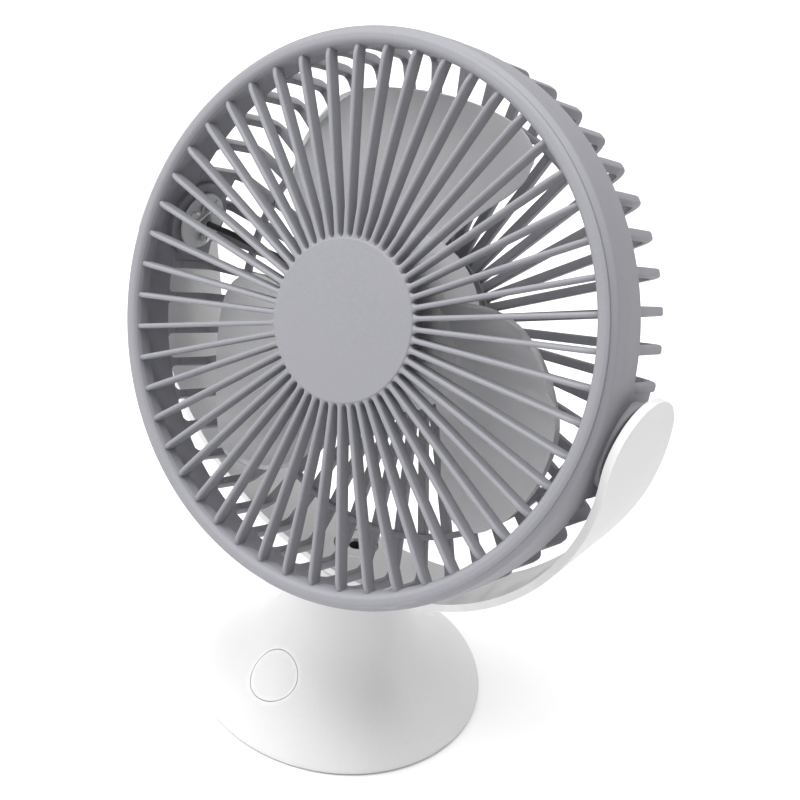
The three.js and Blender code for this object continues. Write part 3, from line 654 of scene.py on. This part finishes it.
def cage_band():
    """The thin ring that ties the rear ribs together on their inner side."""
    back = cage_back - 5
    return spun(rounded([
        (BAND_RADIUS - 2.6, back, 0.5),
        (BAND_RADIUS - 0.4, back, 0.5),
        (BAND_RADIUS - 0.4, back - 3, 0.5),
        (BAND_RADIUS - 2.6, back - 3, 0.5),
    ], steps=2), steps=192)


def motor_screw_places():
    turns = [math.radians(90 + 120 * k) for k in range(3)]
    return [Vector((SCREW_CIRCLE * math.cos(a), 0, SCREW_CIRCLE * math.sin(a))) for a in turns]


def cage_hub():
    """Thick plate over the motor with a double bead on its back and its front, and three screw pockets."""
    r, back = REAR_HUB_RADIUS, cage_back
    hub = spun(rounded([
        (0, back - 3.4, 0), (r - 4, back - 3.4, 0.4), (r - 3.4, back - 4.4, 0.3),
        (r - 2.6, back - 4.4, 0.3), (r - 2.2, back - 4, 0.2), (r - 1.2, back - 4, 0.2),
        (r - 0.8, back - 4.4, 0.3), (r, back - 4.4, 0.3), (r, back - 1, 0.6), (r - 1.8, back, 0.5),
        (r - 2.8, back, 0.2), (r - 3.2, back - 0.5, 0.2), (r - 4.4, back - 0.5, 0.2),
        (r - 4.8, back, 0.2), (r - 5.6, back, 0.2), (r - 6, back - 0.5, 0.2), (0, back - 0.3, 0),
    ], closed=False, steps=3), steps=144)
    seat, head = back - 1.8, 2.9
    pockets = [shifted(spun([(0, back - 5), (SCREW_HOLE, back - 5), (SCREW_HOLE, seat), (head, seat),
                             (head, back + 1), (0, back + 1)], steps=32), place)
               for place in motor_screw_places()]
    return carved(hub, joined(*pockets))


def pivot_lug(side):
    """Solid cage wall round a side pivot, with the round pad that the friction washer bears on."""
    patch = spun(rounded([
        (head_radius - 3.6, DRUM_BACK - 1, 0),
        (head_radius - 0.8, DRUM_BACK - 1, 0),
        (head_radius - 1.3, DRUM_BACK + 6, 0),
        (head_radius - 2.2, cage_back - 11.4, 1.4),
        (head_radius - 4.4, cage_back - 11.4, 0.6),
    ]), steps=16, sweep=math.radians(2 * LUG_SPAN))
    turned_by(patch, -LUG_SPAN)
    softened(patch, 0.7, 60)
    pad_inside = head_radius - DRUM_WALL - 2
    pad = spun(rounded([
        (0, pad_inside, 0),
        (PAD_RADIUS - 1, pad_inside, 0.6),
        (PAD_RADIUS, drum_high.x - 2, 0),
        (PAD_RADIUS, drum_high.x, 0.8),
        (0, drum_high.x, 0),
    ], closed=False), axis="X", steps=72)
    return [shape if side > 0 else turned_by(shape, 180) for shape in (patch, pad)]


def make_rear_cage():
    walls = []
    for shape in (cage_drum(), *pivot_lug(1), *pivot_lug(-1)):
        walls.append(carved(shape, rod(PIVOT_BORE, -THROUGH, THROUGH, "X", 64)))
    piece("rear_cage_moulding", joined(*walls, rear_ribs(), cage_band(), cage_hub()), HEAD, "head",
          "grey_shell", grey_shell, "rear_cage")


# ---------------------------------------------------------------- head: impeller and motor
hub_front = span("impeller", HEAD)[0].y
BLADES = 3
BLADE_TIP = 77.5
BLADE_WALL = 1.8
BLADE_FRONT = -16
BLADE_BACK = 9.5
BLADE_CAMBER = 2.4          # at the hub; it grows by 2.5 towards the tip
HUB_RADIUS = 31
HUB_BACK = 8
HUB_WALL = 2
SHAFT_RADIUS = 1.5
SHAFT_BORE = 1.8
MOUNT_BACK = 16             # back face of the motor mount's plate
MOUNT_RIBS = 3
CAN_VENTS = 3
CAN_WALL = 1.2
SCREW_HEAD_HEIGHT = 1.4
SCREW_SHANK = 1.25
SCREW_PITCH = 0.6


def blade():
    """A swept blade: a grid bent into its place, thickened, and rounded along its edges."""
    bm = bmesh.new()
    bmesh.ops.create_grid(bm, x_segments=28, y_segments=28, size=1)
    for vert in bm.verts:
        out, across = (vert.co.x + 1) / 2, (vert.co.y + 1) / 2
        corner = 1 - 0.13 * abs(2 * across - 1) ** 9
        radius = HUB_RADIUS - 1 + (BLADE_TIP - HUB_RADIUS + 1) * out * (1 - (1 - corner) * out)
        lead = 82 - 22 * out + 12 * out ** 4
        trail = 156 - 16 * out - 14 * out ** 4
        angle = math.radians(lead + (trail - lead) * across)
        along = BLADE_BACK + (BLADE_FRONT - BLADE_BACK) * across + 2 * out * (1 - across)
        along += (BLADE_CAMBER + 2.5 * out) * math.sin(math.pi * across)
        vert.co = (radius * math.cos(angle), along, radius * math.sin(angle))
    bmesh.ops.recalc_face_normals(bm, faces=bm.faces)
    bmesh.ops.solidify(bm, geom=bm.faces[:], thickness=BLADE_WALL)
    bmesh.ops.recalc_face_normals(bm, faces=bm.faces)
    return softened(bm, 0.55, 60, 3)


def make_impeller():
    plate = hub_front + HUB_WALL
    hub = spun(rounded([
        (SHAFT_BORE, hub_front + 0.6, 0.2),
        (7, hub_front + 0.6, 0.4),
        (8, hub_front, 0.4),
        (HUB_RADIUS - 2, hub_front, 3),
        (HUB_RADIUS, hub_front + 4, 3),
        (HUB_RADIUS, HUB_BACK, 0.4),
        (HUB_RADIUS - HUB_WALL, HUB_BACK, 0.4),
        (HUB_RADIUS - HUB_WALL, plate, 1.5),
        (5, plate, 0.5),
        (5, hub_front + 3.4, 0.3),
        (SHAFT_BORE, hub_front + 3.4, 0),
    ]), steps=144)
    blades = [turned_by(blade(), 360 / BLADES * k) for k in range(BLADES)]
    piece("impeller_moulding", joined(hub, *blades), HEAD, "rotor", "blade", blade_grey, "impeller")


def cross_screw(radius, length):
    """A pan-head screw that points down -Z from the top of its head, with a cross recess and a thread."""
    root = SCREW_SHANK * 0.84
    thread = []
    for k in range(int((length - SCREW_HEAD_HEIGHT) / SCREW_PITCH)):
        start = -SCREW_HEAD_HEIGHT - k * SCREW_PITCH
        thread += [(root, start, 0), (SCREW_SHANK, start - SCREW_PITCH / 2, 0)]
    outline = rounded([(0, 0, 0), (radius * 0.6, -0.05, 0), (radius, -0.45, 0.3),
                       (radius, -SCREW_HEAD_HEIGHT, 0.15), *thread,
                       (root, -length + 0.5, 0), (0, -length, 0)], closed=False, steps=3)
    bm = spun(outline, axis="Z", steps=40)
    wide, slot_wall = radius * 1.15, radius * 0.2
    for size in ((wide, slot_wall, 1.2), (slot_wall, wide, 1.2)):
        bm = carved(bm, soft_box(size, (0, 0, 0), 0.08, 1))
    return bm


def screw_piece(node_name, group, body, axis):
    """A screw in the place of its CAD node. axis is the way that its head faces."""
    low, high = span(node_name, group)
    size, middle = high - low, (low + high) / 2
    line = Vector(axis)
    length = abs(size.dot(line))
    head_size = max(size) if length < 4.8 else min(size)
    bm = cross_screw(head_size / 2, length)
    turn_to = Vector((0, 0, 1)).rotation_difference(line).to_matrix().to_4x4()
    place = Matrix.Translation(middle + line * length / 2)
    bmesh.ops.transform(bm, matrix=place @ turn_to, verts=bm.verts)
    piece(f"{node_name}_cross_head", bm, group, body, "steel", plated_steel, node_name, sharp=30)


def turned_piece(name, corners, group, body, slot, finish, node_name, axis="Y", steps=72, sharp=30):
    """A plain turned piece with rounded corners, in the place of its CAD node."""
    closed = max(corners[0][0], corners[-1][0]) > TINY
    bm = spun(rounded(corners, closed=closed, steps=3), axis=axis, steps=steps)
    return piece(name, bm, group, body, slot, finish, node_name, sharp=sharp)


def ring_corners(inner, outer, start, end, edge):
    """The section of a plain ring, with one fillet on all its corners."""
    return [(inner, start, edge), (outer, start, edge), (outer, end, edge), (inner, end, edge)]


def make_bearing(node_name):
    """A small ball bearing: two races with a recessed shield between them."""
    low, high = span(node_name, HEAD)
    outer, start, end = high.x, low.y, high.y
    shield_in, shield_out, recess = 2.4, 3.4, 0.3
    turned_piece(f"{node_name}_races", [
        (SHAFT_BORE, start, 0.15), (shield_in, start, 0.1), (shield_in, start + recess, 0),
        (shield_out, start + recess, 0), (shield_out, start, 0.1), (outer, start, 0.25),
        (outer, end, 0.25), (shield_out, end, 0.1), (shield_out, end - recess, 0),
        (shield_in, end - recess, 0), (shield_in, end, 0.1), (SHAFT_BORE, end, 0.15),
    ], HEAD, "head", "steel", plated_steel, node_name)


def hexagon(radius, bore, start, end, axis="Y"):
    """A chamfered hexagon nut: a six-sided prism cut down by a double cone, then bored."""
    nut = rod(radius, start, end, axis, 6)
    middle, reach = (start + end) / 2, abs(end - start) / 2
    cone = spun([(0, start), (radius * 0.88, start), (radius * 1.02, start + 0.25 * reach),
                 (radius * 1.02, end - 0.25 * reach), (radius * 0.88, end), (0, end)], axis=axis, steps=64)
    return carved(carved(nut, cone, "INTERSECT"), rod(bore, middle - 20, middle + 20, axis, 48))


def make_motor():
    mount_low, mount_high = span("motor_mount", HEAD)
    post_in, post_out, spigot = 2.1, 5.6, 3.4
    mount = spun(rounded([
        (post_in, mount_low.y, 0.2), (post_out, mount_low.y, 0.4), (post_out, MOUNT_BACK - 2, 0.8),
        (mount_high.x, MOUNT_BACK - 2, 0.4), (mount_high.x, MOUNT_BACK, 0.4), (9, MOUNT_BACK, 0.8),
        (8, MOUNT_BACK + 1, 0.5), (post_in, MOUNT_BACK + 1, 0.3),
    ]), steps=96)
    spigots = [shifted(spun(rounded([
        (SCREW_HOLE, MOUNT_BACK - 1, 0), (spigot, MOUNT_BACK - 1, 0), (spigot, mount_high.y, 0.4),
        (SCREW_HOLE, mount_high.y, 0),
    ]), steps=32), place) for place in motor_screw_places()]
    ribs = [turned_by(soft_box((11, 2.4, 1.2), (13, MOUNT_BACK + 1, 0), 0.3, 2), 360 / MOUNT_RIBS * k + 30)
            for k in range(MOUNT_RIBS)]
    piece("motor_mount_moulding", joined(mount, *spigots, *ribs), HEAD, "head", "black_plastic",
          black_nylon, "motor_mount")
    can_low, can_high = span("rotor_can", HEAD)
    can_out, can_in = can_high.x, can_high.x - CAN_WALL
    boss, face = 4, can_low.y + 2
    inside = can_low.y + 3.2
    can = spun(rounded([
        (SHAFT_BORE, can_low.y, 0.2), (boss, can_low.y, 0.4), (boss, face, 0.4), (can_out, face, 1.4),
        (can_out, can_high.y, 0.2), (can_in, can_high.y, 0.2), (can_in, inside, 0.6),
        (SHAFT_BORE, inside, 0.2),
    ]), steps=120)
    vents = [turned_by(shifted(rod(4, can_low.y - 1, can_low.y + 5, "Y"), (13, 0, 0)), 360 / CAN_VENTS * k)
             for k in range(CAN_VENTS)]
    piece("rotor_can_pressing", carved(can, joined(*vents)), HEAD, "rotor", "steel", plated_steel,
          "rotor_can")
    low, high = span("rotor_magnet", HEAD)
    turned_piece("rotor_magnet_ring", ring_corners(high.x - 2, high.x, low.y, high.y, 0.25), HEAD, "rotor",
                 "magnet", bonded_ferrite, "rotor_magnet", steps=96)
    low, high = span("motor_shaft", HEAD)
    turned_piece("motor_shaft_ground", [
        (0, low.y, 0), (SHAFT_RADIUS, low.y, 0.4), (SHAFT_RADIUS, high.y, 0.4), (0, high.y, 0),
    ], HEAD, "rotor", "steel", plated_steel, "motor_shaft", steps=48)
    low, high = span("impeller_nut", HEAD)
    nut_radius = high.z * 1.1547 if high.x < high.z else high.x
    piece("impeller_nut_hex", hexagon(nut_radius, SHAFT_BORE, low.y, high.y), HEAD, "rotor", "steel",
          plated_steel, "impeller_nut", sharp=30)
    for node_name in ("front_bearing", "rear_bearing"):
        make_bearing(node_name)
    for k in (1, 2, 3):
        screw_piece(f"motor_screw_{k}", HEAD, "head", (0, 1, 0))
    lead_back = cage_back - 4.4 - 2.6 - 1.9
    route = [(-84.6, 0, 0), (-83.4, 5, -1), (-80.6, 11, -2), (-73.5, lead_back, -3),
             (-50, lead_back + 1.2, -2), (-30, lead_back + 2.2, -1), (-21, lead_back + 2.4, 0)]
    piece("motor_lead_sleeve", wire(route, 1.1), HEAD, "head", "black_plastic",
          black_nylon, "motor_lead", sharp=50)


# ---------------------------------------------------------------- yoke
arm_low, arm_high = span("yoke_arm", YOKE)
arm_out = arm_high.x
arm_top = arm_high.z
ARM_WALL = 2.8
YOKE_DROP = 100.2
ARM_EDGE = 0.6
YOKE_BOSS_RADIUS = 12.4
BOLT_RADIUS = 4.6
BOLT_HEAD_RADIUS = 8
TRUNNION_RADIUS = 8
TRUNNION_BORE = 3.4
KEEPER_SCREW_OFFSET = 5.7
PADDLE_FROM = 0.9           # share of the band's half length at which the round end starts


def blended(curve, at):
    """Height of a smooth curve at a place along it."""
    for before, after in zip(curve, curve[1:]):
        if at <= after.x:
            return before.y + (after.y - before.y) * (at - before.x) / (after.x - before.x)
    return curve[-1].y


# How far the band reaches forwards and backwards, by the share of the yoke's drop.
FRONT_EDGE = [(0, 18.8), (0.25, 17.4), (0.6, 17.4), (1, 17.7)]
REAR_EDGE = [(0, 18.8), (0.3, 18.3), (0.5, 13.6), (0.65, 8.5), (0.8, 5.7), (1, 9.5)]


def yoke_band():
    """The band: a grid bent round the C, its two ends drawn out into round paddles, then thickened."""
    bm = bmesh.new()
    bmesh.ops.create_grid(bm, x_segments=150, y_segments=22, size=1)
    front_edge, rear_edge = smooth_line(FRONT_EDGE, 6), smooth_line(REAR_EDGE, 6)
    for vert in bm.verts:
        along, across = vert.co.x, vert.co.y
        side = -1 if along < 0 else 1
        if abs(along) > PADDLE_FROM:
            climb = (abs(along) - PADDLE_FROM) / (1 - PADDLE_FROM)
            lean = across * math.pi / 2
            vert.co = (side * arm_out, math.sin(lean) * arm_top, climb * math.cos(lean) * arm_top)
            continue
        angle = math.pi / 2 * (1 - abs(along) / PADDLE_FROM)
        depth = math.sin(angle)
        reach = blended(rear_edge if across > 0 else front_edge, depth)
        vert.co = (side * arm_out * math.cos(angle), math.sin(across * math.pi / 2) * reach,
                   -YOKE_DROP * depth)
    bmesh.ops.remove_doubles(bm, verts=bm.verts, dist=0.02)
    bmesh.ops.recalc_face_normals(bm, faces=bm.faces)
    sample = max(bm.faces, key=lambda f: f.calc_center_median().x)
    if sample.normal.x < 0:
        bmesh.ops.reverse_faces(bm, faces=bm.faces)
    bmesh.ops.solidify(bm, geom=bm.faces[:], thickness=ARM_WALL)
    bmesh.ops.recalc_face_normals(bm, faces=bm.faces)
    return bm


def make_yoke():
    band = softened(yoke_band(), ARM_EDGE, 60, 3)
    bore, head_bore = BOLT_RADIUS + GAP, BOLT_HEAD_RADIUS + GAP
    seat_floor = -YOKE_DROP + ARM_WALL - 1.6
    seat = spun([(0, -130), (bore, -130), (bore, seat_floor), (head_bore, seat_floor), (head_bore, -60),
                 (0, -60)], axis="Z", steps=64)
    boss_top = -YOKE_DROP + 0.6
    boss = spun(rounded([(bore, arm_low.z, 0.2), (YOKE_BOSS_RADIUS, arm_low.z, 0.5),
                         (YOKE_BOSS_RADIUS, boss_top, 0), (bore, boss_top, 0)]), axis="Z", steps=96)
    trunnions = []
    tip = span("right_pivot_keeper", YOKE)[1].x + GAP
    root = arm_out - ARM_WALL + 0.4
    for side in (0, 180):
        trunnion = spun(rounded([(TRUNNION_BORE, tip, 0.3), (TRUNNION_RADIUS, tip, 0.5),
                                 (TRUNNION_RADIUS, root, 0), (TRUNNION_BORE, root, 0)]), axis="X", steps=64)
        trunnions.append(turned_by(trunnion, side))
    piece("yoke_arm_moulding", joined(carved(band, seat), boss, *trunnions), YOKE, "yoke", "white_shell",
          white_shell, "yoke_arm", sharp=45)


def make_pivot_parts():
    """Friction washers, keeper plates with their screws, and the wire clip at the left pivot."""
    for side, half, sign in (("right", 0, 1), ("left", 180, -1)):
        low, high = span(f"{side}_friction_washer", YOKE)
        start, end = sorted((abs(low.x), abs(high.x)))
        washer = spun(rounded(ring_corners(PIVOT_BORE, high.z, start, end, 0.25), steps=2), axis="X",
                      steps=64)
        piece(f"{side}_friction_washer_ring", turned_by(washer, half), YOKE, "yoke", "black_plastic",
              black_nylon, f"{side}_friction_washer")
        low, high = span(f"{side}_pivot_keeper", YOKE)
        start, end = sorted((abs(low.x), abs(high.x)))
        plate = spun(rounded([(TRUNNION_BORE, start, 0.2), (4.6, start, 0.3), (4.6, start + 0.5, 0.2),
                              (high.z, start + 0.5, 0.4), (high.z, end, 0.2), (TRUNNION_BORE, end, 0)]),
                     axis="X", steps=64)
        flat = soft_box((40, 6, 60), (90, high.y * sign + 3 if sign > 0 else abs(low.y) + 3, 0), 0.2)
        plate = carved(plate, flat)
        holes = [shifted(rod(SCREW_HOLE, 60, THROUGH, "X", 24), (0, 0, z))
                 for z in (KEEPER_SCREW_OFFSET, -KEEPER_SCREW_OFFSET)]
        plate = softened(carved(plate, joined(*holes)), 0.2, 50)
        piece(f"{side}_pivot_keeper_plate", turned_by(plate, half), YOKE, "yoke", "white_shell",
              white_shell, f"{side}_pivot_keeper")
        for k in (1, 2):
            screw_piece(f"{side}_keeper_screw_{k}", YOKE, "yoke", (-sign, 0, 0))
    low, high = span("lead_clip", YOKE)
    clip_x = (low.x + high.x) / 2
    bend = [(3.4, 8.6), (-1.6, 5.6), (-7.4, 3.6), (-9.6, 5.2), (-8.4, 7.4), (-6.4, 6.6)]
    piece("lead_clip_wire", wire([(clip_x, y, z) for y, z in bend], 0.7), YOKE, "yoke", "steel",
          plated_steel, "lead_clip", sharp=50)


def make_swivel():
    low, high = span("swivel_bolt", YOKE)
    bore, under_head = 2.4, high.z - 1.3
    turned_piece("swivel_bolt_turned", [
        (bore, low.z, 0.2), (BOLT_RADIUS, low.z, 0.5), (BOLT_RADIUS, under_head, 0.1),
        (BOLT_HEAD_RADIUS, under_head, 0.2), (BOLT_HEAD_RADIUS, high.z, 0.4), (3.2, high.z, 0.2),
        (bore, high.z - 0.8, 0.1),
    ], YOKE, "yoke", "steel", plated_steel, "swivel_bolt", axis="Z")
    low, high = span("swivel_washer", YOKE)
    turned_piece("swivel_washer_ring", ring_corners(BOLT_RADIUS + GAP, high.x, low.z, high.z, 0.2), YOKE,
                 "yoke", "black_plastic", black_nylon, "swivel_washer", axis="Z")
    low, high = span("swivel_nut", YOKE)
    piece("swivel_nut_hex", hexagon(8, BOLT_RADIUS + GAP, low.z, high.z, "Z"), YOKE, "yoke", "steel",
          plated_steel, "swivel_nut", sharp=30)
    low, high = span("swivel_bush", STAND)
    turned_piece("swivel_bush_sleeve", ring_corners(BOLT_RADIUS + GAP, high.x, low.z, high.z, 0.3), STAND,
                 "base", "black_plastic", black_nylon, "swivel_bush", axis="Z")


# ---------------------------------------------------------------- stand
shell_high = span("foot_shell", STAND)[1]
foot_radius = shell_high.x
neck_top = shell_high.z
foot_bottom = 0.7
FOOT_WALL = 2.4
NECK_RADIUS = 15.6
NECK_WALL = 4
BUSH_SEAT = 6.7
BUTTON_RADIUS = 9.7
BUTTON_GAP = 0.25
BUTTON_HEIGHT = 16.6
BUTTON_WALL = 2
BUTTON_REACH = 6            # how deep the cap is cut out of the foot
BUTTON_CUT_TOP = 14
STEM_RADIUS = 2
STEM_END = -2.8
STEM_ROOT = -1.2
FLOOR_SCREWS = 4
FLOOR_SCREW_CIRCLE = 36
foot_line = [
    (foot_radius, foot_bottom + 0.7), (foot_radius - 1.6, 2.8), (foot_radius - 8.3, 7.6),
    (foot_radius - 19.3, 15.2), (foot_radius - 28.6, 26.6), (NECK_RADIUS + 5.4, 39.9),
    (NECK_RADIUS + 1.6, 50), (NECK_RADIUS, neck_top),
]


def offset_line(line, depth):
    """The curve moved inwards by the depth, square to itself."""
    moved = []
    for i, here in enumerate(line):
        ahead = (line[min(i + 1, len(line) - 1)] - line[max(i - 1, 0)]).normalized()
        moved.append(here - Vector((ahead.y, -ahead.x)) * depth)
    return moved


foot_curve = smooth_line(foot_line)


def foot_cut(depth):
    """The foot's whole volume inside a given depth of its surface."""
    line = offset_line(foot_curve, depth)
    return spun([Vector((0, -2)), Vector((line[0].x, -2))] + line
                + [Vector((line[-1].x, neck_top + 3)), Vector((0, neck_top + 3))], axis="Z", steps=180)


def button_seat():
    """Radius of the foot's surface at the height of the button's middle."""
    above = next(i for i, p in enumerate(foot_curve) if p.y > BUTTON_HEIGHT)
    low, high = foot_curve[above - 1], foot_curve[above]
    return low.x + (high.x - low.x) * (BUTTON_HEIGHT - low.y) / (high.y - low.y)


button_lean = math.asin(-pressing.z)


def at_button(bm):
    """Carries a shape made round the Z axis to the button, facing out of the foot."""
    place = Matrix.Translation((0, -button_seat(), BUTTON_HEIGHT))
    lean = Matrix.Rotation(math.pi / 2 - button_lean, 4, "X")
    bmesh.ops.transform(bm, matrix=place @ lean, verts=bm.verts)
    return bm


def make_foot():
    """The trumpet shell, with its button window and its port, and the button cut from the same surface."""
    inner = offset_line(foot_curve, FOOT_WALL)
    first = next(i for i, p in enumerate(inner) if p.y > foot_bottom + 1.5)
    last = next(i for i, p in enumerate(inner) if p.y > neck_top - NECK_WALL)
    outline = [Vector((foot_radius - FOOT_WALL, foot_bottom)), Vector((foot_radius - 0.25, foot_bottom)),
               Vector((foot_radius, foot_bottom + 0.25))] + foot_curve[1:-1]
    outline += rounded([(foot_curve[-2].x, foot_curve[-2].y, 0), (NECK_RADIUS, neck_top, 0.6),
                        (BUSH_SEAT, neck_top, 0.3), (BUSH_SEAT, neck_top - NECK_WALL, 0.2),
                        (inner[last].x, neck_top - NECK_WALL, 0)], closed=False)[1:]
    outline += inner[first:last][::-1]
    shell = spun(outline, axis="Z", steps=180)
    window = rod(BUTTON_RADIUS + BUTTON_GAP, -BUTTON_CUT_TOP, BUTTON_CUT_TOP, steps=96)
    shell = carved(shell, at_button(window))
    socket_low, socket_high = span("usb_socket", STAND)
    port = slot_box((socket_high.x - socket_low.x + 3, 60, socket_high.z - socket_low.z + 3), 2.4, 6)
    shell = carved(shell, shifted(port, (0, 50, (socket_low.z + socket_high.z) / 2)))
    piece("foot_shell_moulding", softened(shell, 0.18, 50), STAND, "base", "white_shell", white_shell,
          "foot_shell", sharp=45)
    plug = at_button(rod(BUTTON_RADIUS, -BUTTON_REACH, BUTTON_CUT_TOP, steps=96))
    cap = carved(carved(foot_cut(0), plug, "INTERSECT"), foot_cut(BUTTON_WALL))
    stem = at_button(spun(rounded([(0, STEM_END, 0), (STEM_RADIUS, STEM_END, 0.3),
                                   (STEM_RADIUS, STEM_ROOT, 0), (0, STEM_ROOT, 0)], closed=False),
                          axis="Z", steps=32))
    piece("power_button_cap", joined(softened(cap, 0.25, 50, 3), stem), STAND, "button", "white_shell",
          white_shell, "power_button", sharp=45)


def floor_screw_places():
    turns = [math.radians(45 + 360 / FLOOR_SCREWS * k) for k in range(FLOOR_SCREWS)]
    return [Vector((FLOOR_SCREW_CIRCLE * math.cos(a), FLOOR_SCREW_CIRCLE * math.sin(a), 0)) for a in turns]


def make_base_parts():
    """What closes the foot from below, and what sits inside it."""
    low, high = span("foot_pad", STAND)
    radius = high.x
    turned_piece("foot_pad_moulded", [
        (0, 0.35, 0), (radius - 9, 0.35, 0.1), (radius - 8.6, 0, 0.15), (radius - 0.6, 0, 0.4),
        (radius, high.z, 0.3), (0, high.z, 0),
    ], STAND, "base", "foot_rubber", pad_rubber, "foot_pad", axis="Z", steps=144)
    low, high = span("foot_floor", STAND)
    floor = spun(rounded([(0, low.z, 0), (high.x, low.z, 0.3), (high.x, high.z, 0.3), (0, high.z, 0)],
                         closed=False), axis="Z", steps=120)
    seat, head = low.z + 1.7, 2.7
    hole = [(0, -5), (head, -5), (head, seat), (SCREW_HOLE, seat), (SCREW_HOLE, 12), (0, 12)]
    holes = [shifted(spun(hole, axis="Z", steps=32), place) for place in floor_screw_places()]
    piece("foot_floor_moulding", carved(floor, joined(*holes)), STAND, "base", "white_shell", white_shell,
          "foot_floor")
    for k in range(FLOOR_SCREWS):
        screw_piece(f"foot_screw_{k + 1}", STAND, "base", (0, 0, -1))
    low, high = span("battery_pack", STAND)
    middle, size = (low + high) / 2, high - low
    cell = soft_box(size, middle, 1.6, 4)
    tape = soft_box((size.x * 0.22, size.y, size.z), middle, 1.55, 4)
    piece("battery_pack_pouch", joined(cell, tape), STAND, "base", "battery_wrap", pouch_foil,
          "battery_pack")
    low, high = span("usb_socket", STAND)
    middle, size = (low + high) / 2, high - low
    round_by = 0.46
    inner_height = size.z - 0.7
    hollow = slot_box((size.x - 0.7, size.y, inner_height), inner_height * round_by, 8)
    shell = carved(shifted(slot_box(size, size.z * round_by, 8), middle),
                   shifted(hollow, middle + Vector((0, 1.2, 0))))
    tongue = soft_box((size.x - 3, size.y - 1, 0.7), middle - Vector((0, 0.5, 0)), 0.12, 1)
    piece("usb_socket_shell", joined(shell, tongue), STAND, "base", "steel", plated_steel, "usb_socket")


def dress_cad_nodes():
    """The CAD nodes that keep their own shape get their finish."""
    finishes = {
        "motor_board": solder_mask, "stator_core": electrical_steel, "stator_winding": wound_copper,
        "ballast_plate": electrical_steel, "charge_board": solder_mask, "switch_board": solder_mask,
        "tact_switch": black_nylon,
    }
    for name, finish in finishes.items():
        mesh = frame["nodes"][name].data
        mesh.materials.clear()
        mesh.materials.append(finish)


make_front_grille()
make_rear_cage()
make_impeller()
make_motor()
make_yoke()
make_pivot_parts()
make_swivel()
make_foot()
make_base_parts()
dress_cad_nodes()


# ---------------------------------------------------------------- camera, floor and light
def make_camera():
    data = bpy.data.cameras.new("camera")
    data.lens = 74.1
    data.sensor_width = 36
    data.clip_start, data.clip_end = 0.01, 50
    camera = bpy.data.objects.new("camera", data)
    camera.location = (0.2711, -0.3900, 0.4499)
    camera.rotation_euler = [math.radians(a) for a in (55.708, -7.347, 38.842)]
    bpy.context.scene.collection.objects.link(camera)
    bpy.context.scene.camera = camera


def make_floor():
    """A wide, flat, pale floor."""
    bm = bmesh.new()
    bmesh.ops.create_circle(bm, cap_ends=True, segments=96, radius=6)
    mesh = bpy.data.meshes.new("floor")
    bm.to_mesh(mesh)
    bm.free()
    floor = bpy.data.objects.new("floor", mesh)
    bpy.context.scene.collection.objects.link(floor)
    material, tree, shader = new_material("pale_floor", Roughness=0.9, Specular_IOR_Level=0.1)
    tone = mixed(tree, ranged(tree, noise(tree, 3, 2), 0.3, 0.7, 0, 1), (0.93, 0.93, 0.93, 1),
                 (0.95, 0.95, 0.95, 1))
    tree.links.new(tone, shader.inputs["Base Color"])
    mesh.materials.append(material)


def make_light(name, place, aim, size, power):
    data = bpy.data.lights.new(name, "AREA")
    data.shape = "DISK"
    data.size = size
    data.energy = power
    lamp = bpy.data.objects.new(name, data)
    lamp.location = place
    lamp.rotation_euler = (Vector(aim) - Vector(place)).to_track_quat("-Z", "Y").to_euler()
    bpy.context.scene.collection.objects.link(lamp)


AMBIENT = 0.5               # how bright the white surroundings are as a light


def make_studio():
    """White surroundings and two soft lights, both aimed at the middle of the fan."""
    world = bpy.data.worlds.new("studio")
    world.use_nodes = True
    tree = world.node_tree
    seen = node(tree, "ShaderNodeLightPath").outputs["Is Camera Ray"]
    tree.links.new(ranged(tree, seen, 0, 1, AMBIENT, 1), tree.nodes["Background"].inputs["Strength"])
    tree.nodes["Background"].inputs["Color"].default_value = (1, 1, 1, 1)
    bpy.context.scene.world = world
    bpy.context.scene.view_settings.view_transform = "Standard"
    middle = (0, 0, 0.14)
    make_light("key_light", (-1.2, -1.1, 1.6), middle, 1.6, 30)
    make_light("top_light", (-0.2, 0.0, 2.0), middle, 2.4, 50)


make_camera()
make_floor()
make_studio()
